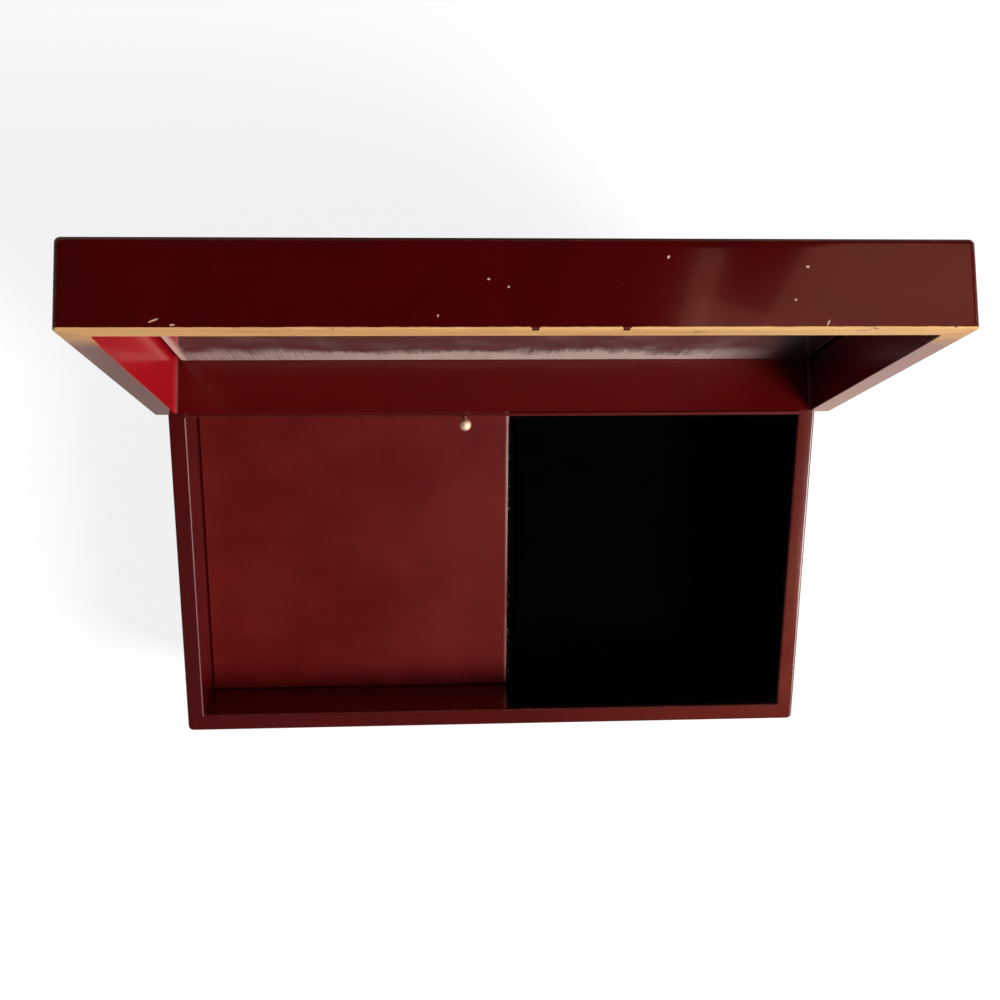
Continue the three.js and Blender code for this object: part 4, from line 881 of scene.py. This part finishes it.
def soft_pad(settings):
    """The floor pad: foam under velvet on a card, swollen as cloth, its foot spread all round."""
    low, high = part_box("velvet_floor_pad")
    middle = (low + high) / 2
    walls = (
        (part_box("velvet_lining_left")[1].x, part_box("velvet_lining_right")[0].x),
        (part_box("velvet_lining_front")[1].y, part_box("velvet_lining_back")[0].y),
    )
    height_before, foot, rim = 0.86, 1.8 * MM, 5 * MM
    mesh = frame["nodes"]["velvet_floor_pad"].data.copy()
    pad = link(bpy.data.objects.new("velvet_pad", mesh))
    pad.data.materials.clear()
    for vert in pad.data.vertices:
        vert.co.z = low.z + (vert.co.z - low.z) * height_before
    pad.modifiers.new("Join", "WELD").merge_threshold = 0.01 * MM
    cells = pad.modifiers.new("Cells", "REMESH")
    cells.mode = "VOXEL"
    cells.voxel_size = settings.pad_cell
    apply_modifiers(pad)
    swell(pad, settings.pad_swell)
    pad.modifiers.new("Finer", "SUBSURF").levels = 1
    apply_modifiers(pad)
    for vert in pad.data.vertices:
        spread = min(1.0, max(0.0, 1 - (vert.co.z - low.z) / foot) * 2)
        for axis, (near, far) in enumerate(walls):
            wall = far if vert.co[axis] > middle[axis] else near
            if abs(wall - vert.co[axis]) < rim:
                vert.co[axis] += (wall - vert.co[axis]) * spread
            vert.co[axis] = min(max(vert.co[axis], near), far)
        vert.co.z = max(vert.co.z, low.z)
    for polygon in pad.data.polygons:
        polygon.use_smooth = True
    return pad


def swell(pad, limit):
    """Lets the pad's cover fill out as cloth under pressure, each point by the limit at most."""
    frames, pressure, smallest_move = 20, 4, 1e-9
    scene = bpy.context.scene
    start = [vert.co.copy() for vert in pad.data.vertices]
    cloth = pad.modifiers.new("Cloth", "CLOTH").settings
    cloth.use_pressure = True
    cloth.uniform_pressure_force = pressure
    cloth.effector_weights.gravity = 0
    for number in range(1, frames + 1):
        scene.frame_set(number)
    apply_modifiers(pad)
    scene.frame_set(1)
    for vert, first in zip(pad.data.vertices, start):
        move = vert.co - first
        vert.co = first + move * min(1.0, limit / max(move.length, smallest_move))


def apply_modifiers(piece):
    """Replaces a piece's mesh by what its modifiers make of it."""
    graph = bpy.context.evaluated_depsgraph_get()
    done = bpy.data.meshes.new_from_object(piece.evaluated_get(graph))
    piece.modifiers.clear()
    piece.data = done


class SetStage(bpy.types.Operator):
    """Lay the pale floor and set the lights"""

    bl_idname = "jewelry_box.stage"
    bl_label = "Stage"

    def execute(self, context):
        stage = context.scene.jewelry_box_stage
        context.scene.view_settings.view_transform = "Standard"
        build = bmesh.new()
        bmesh.ops.create_circle(build, cap_ends=True, radius=4, segments=64)
        floor = new_piece("studio_floor", build)
        floor.data.materials.append(floor_finish(stage.backdrop).material)
        add_light("Key", BOX_MIDDLE, -20, 48, 1.4, (0.6, 0.6), stage.key_power, WHITE_LIGHT)
        for name, (azimuth, elevation, size, share) in WINDOW_LAMPS.items():
            power = stage.window_power * share
            add_light(name, LID_CORNER, azimuth, elevation, 1.2, size, power, WARM_LIGHT)
        set_world(stage)
        return {"FINISHED"}


def add_light(name, target, azimuth, elevation, distance, size, power, colour):
    """A rectangular lamp that faces its target: azimuth from +X towards +Y, in degrees."""
    around, above = math.radians(azimuth), math.radians(elevation)
    direction = Vector((
        math.cos(around) * math.cos(above), math.sin(around) * math.cos(above), math.sin(above),
    ))
    data = bpy.data.lights.new(name, "AREA")
    data.shape = "RECTANGLE"
    data.size, data.size_y = size
    data.energy = power
    data.color = colour
    lamp = link(bpy.data.objects.new(name, data))
    lamp.location = target + direction * distance
    lamp.rotation_mode = "QUATERNION"
    lamp.rotation_quaternion = (-direction).to_track_quat("-Z", "Y")


def floor_finish(colour):
    """A matt floor, pale to the camera less the object's shadow, and warmer in reflections, where a
    shadow is also painted behind the case.
    """
    surface = Surface("Floor", Roughness=0.9, Specular_IOR_Level=0.1, Emission_Strength=1.0)
    seen, mirrored = surface.ray_kinds()
    far = surface.length(surface.place).step(250, 1200)
    # Painted shadow: behind the case the floor is darker in reflections
    behind = surface.along(BACKWARD).step(20, 60)
    painted_shadow_behind = behind * abs(surface.along(ACROSS)).step(160, 100)
    # To the camera, the lamps' light on the floor and the floor's own come to white together
    matt = 0.8 - seen * (0.6 + far * 0.2) - mirrored * (0.35 + painted_shadow_behind * 0.4)
    glow = seen * (0.86 + far * 0.14) + mirrored * (0.35 - painted_shadow_behind * 0.32)
    warmer = tuple(c * w for c, w in zip(colour, FLOOR_WARMTH))
    tone = surface.mix(mirrored, colour, warmer)
    surface.set(
        Base_Color=surface.tinted(surface.grey(matt), tone),
        Emission_Color=surface.tinted(surface.grey(glow), tone),
    )
    return surface


def set_world(stage):
    """An even dim surround, pale to the camera, and in reflections pale low down and dim above."""
    world = bpy.data.worlds.new("Studio")
    bpy.context.scene.world = world
    world.use_nodes = True
    nodes = Nodes(world.node_tree)
    seen, mirrored = nodes.ray_kinds()
    direction = nodes.node("ShaderNodeTexCoord").outputs["Generated"]
    rightward, forward, height = (
        nodes.dot(direction, axis) for axis in (ACROSS, -BACKWARD, UPWARD)
    )
    before = forward.step(0.05, 0.35)
    reflected = height.step(0.3, 0.02) * 0.6 + before * 0.12 + 0.01
    lighting = (rightward.step(-0.7, 0.7) * 1.4 + 0.3) * stage.ambient
    level = seen + (1 - seen) * (mirrored * reflected + (1 - mirrored) * lighting)
    glow = before * rightward.step(0.02, 0.3) * height.step(0.7, 0.8) * mirrored
    tone = nodes.tinted(nodes.mix(glow, nodes.grey(level), ROOM_GLOW), stage.backdrop)
    background = nodes.node("ShaderNodeBackground", {}, {"Color": tone, "Strength": 1.0})
    nodes.node("ShaderNodeOutputWorld", {}, {"Surface": background.outputs[0]})


class JewelryBoxPanel(bpy.types.Panel):
    """Lists the settings and the steps that dress the box"""

    bl_idname = "VIEW3D_PT_jewelry_box"
    bl_label = "Jewelry Box"
    bl_space_type = "VIEW_3D"
    bl_region_type = "UI"
    bl_category = "Jewelry Box"

    def draw(self, context):
        for name in SETTINGS:
            group = getattr(context.scene, name)
            column = self.layout.column()
            for setting in type(group).__annotations__:
                column.prop(group, setting)
        for operator in OPERATORS:
            self.layout.operator(operator.bl_idname)


SETTINGS = {
    "jewelry_box_finish": JewelryBoxFinish,
    "jewelry_box_velvet": JewelryBoxVelvet,
    "jewelry_box_stage": JewelryBoxStage,
}
OPERATORS = (
    PlaceCamera, FinishCase, FinishLid, FinishMetalwork, UpholsterCompartment, SetStage,
)
CLASSES = (*SETTINGS.values(), *OPERATORS, JewelryBoxPanel)


def register():
    """Makes the classes and the scene's settings known to Blender."""
    for made in CLASSES:
        bpy.utils.register_class(made)
    for name, group in SETTINGS.items():
        setattr(bpy.types.Scene, name, bpy.props.PointerProperty(type=group))


def unregister():
    """Takes the scene's settings and the classes away again."""
    for name in SETTINGS:
        delattr(bpy.types.Scene, name)
    for made in reversed(CLASSES):
        bpy.utils.unregister_class(made)


def main():
    """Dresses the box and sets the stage."""
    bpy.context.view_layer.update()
    register()
    bpy.ops.jewelry_box.camera()
    bpy.ops.jewelry_box.case()
    bpy.ops.jewelry_box.lid()
    bpy.ops.jewelry_box.metalwork()
    bpy.ops.jewelry_box.velvet()
    bpy.ops.jewelry_box.stage()


if __name__ == "__main__":
    main()
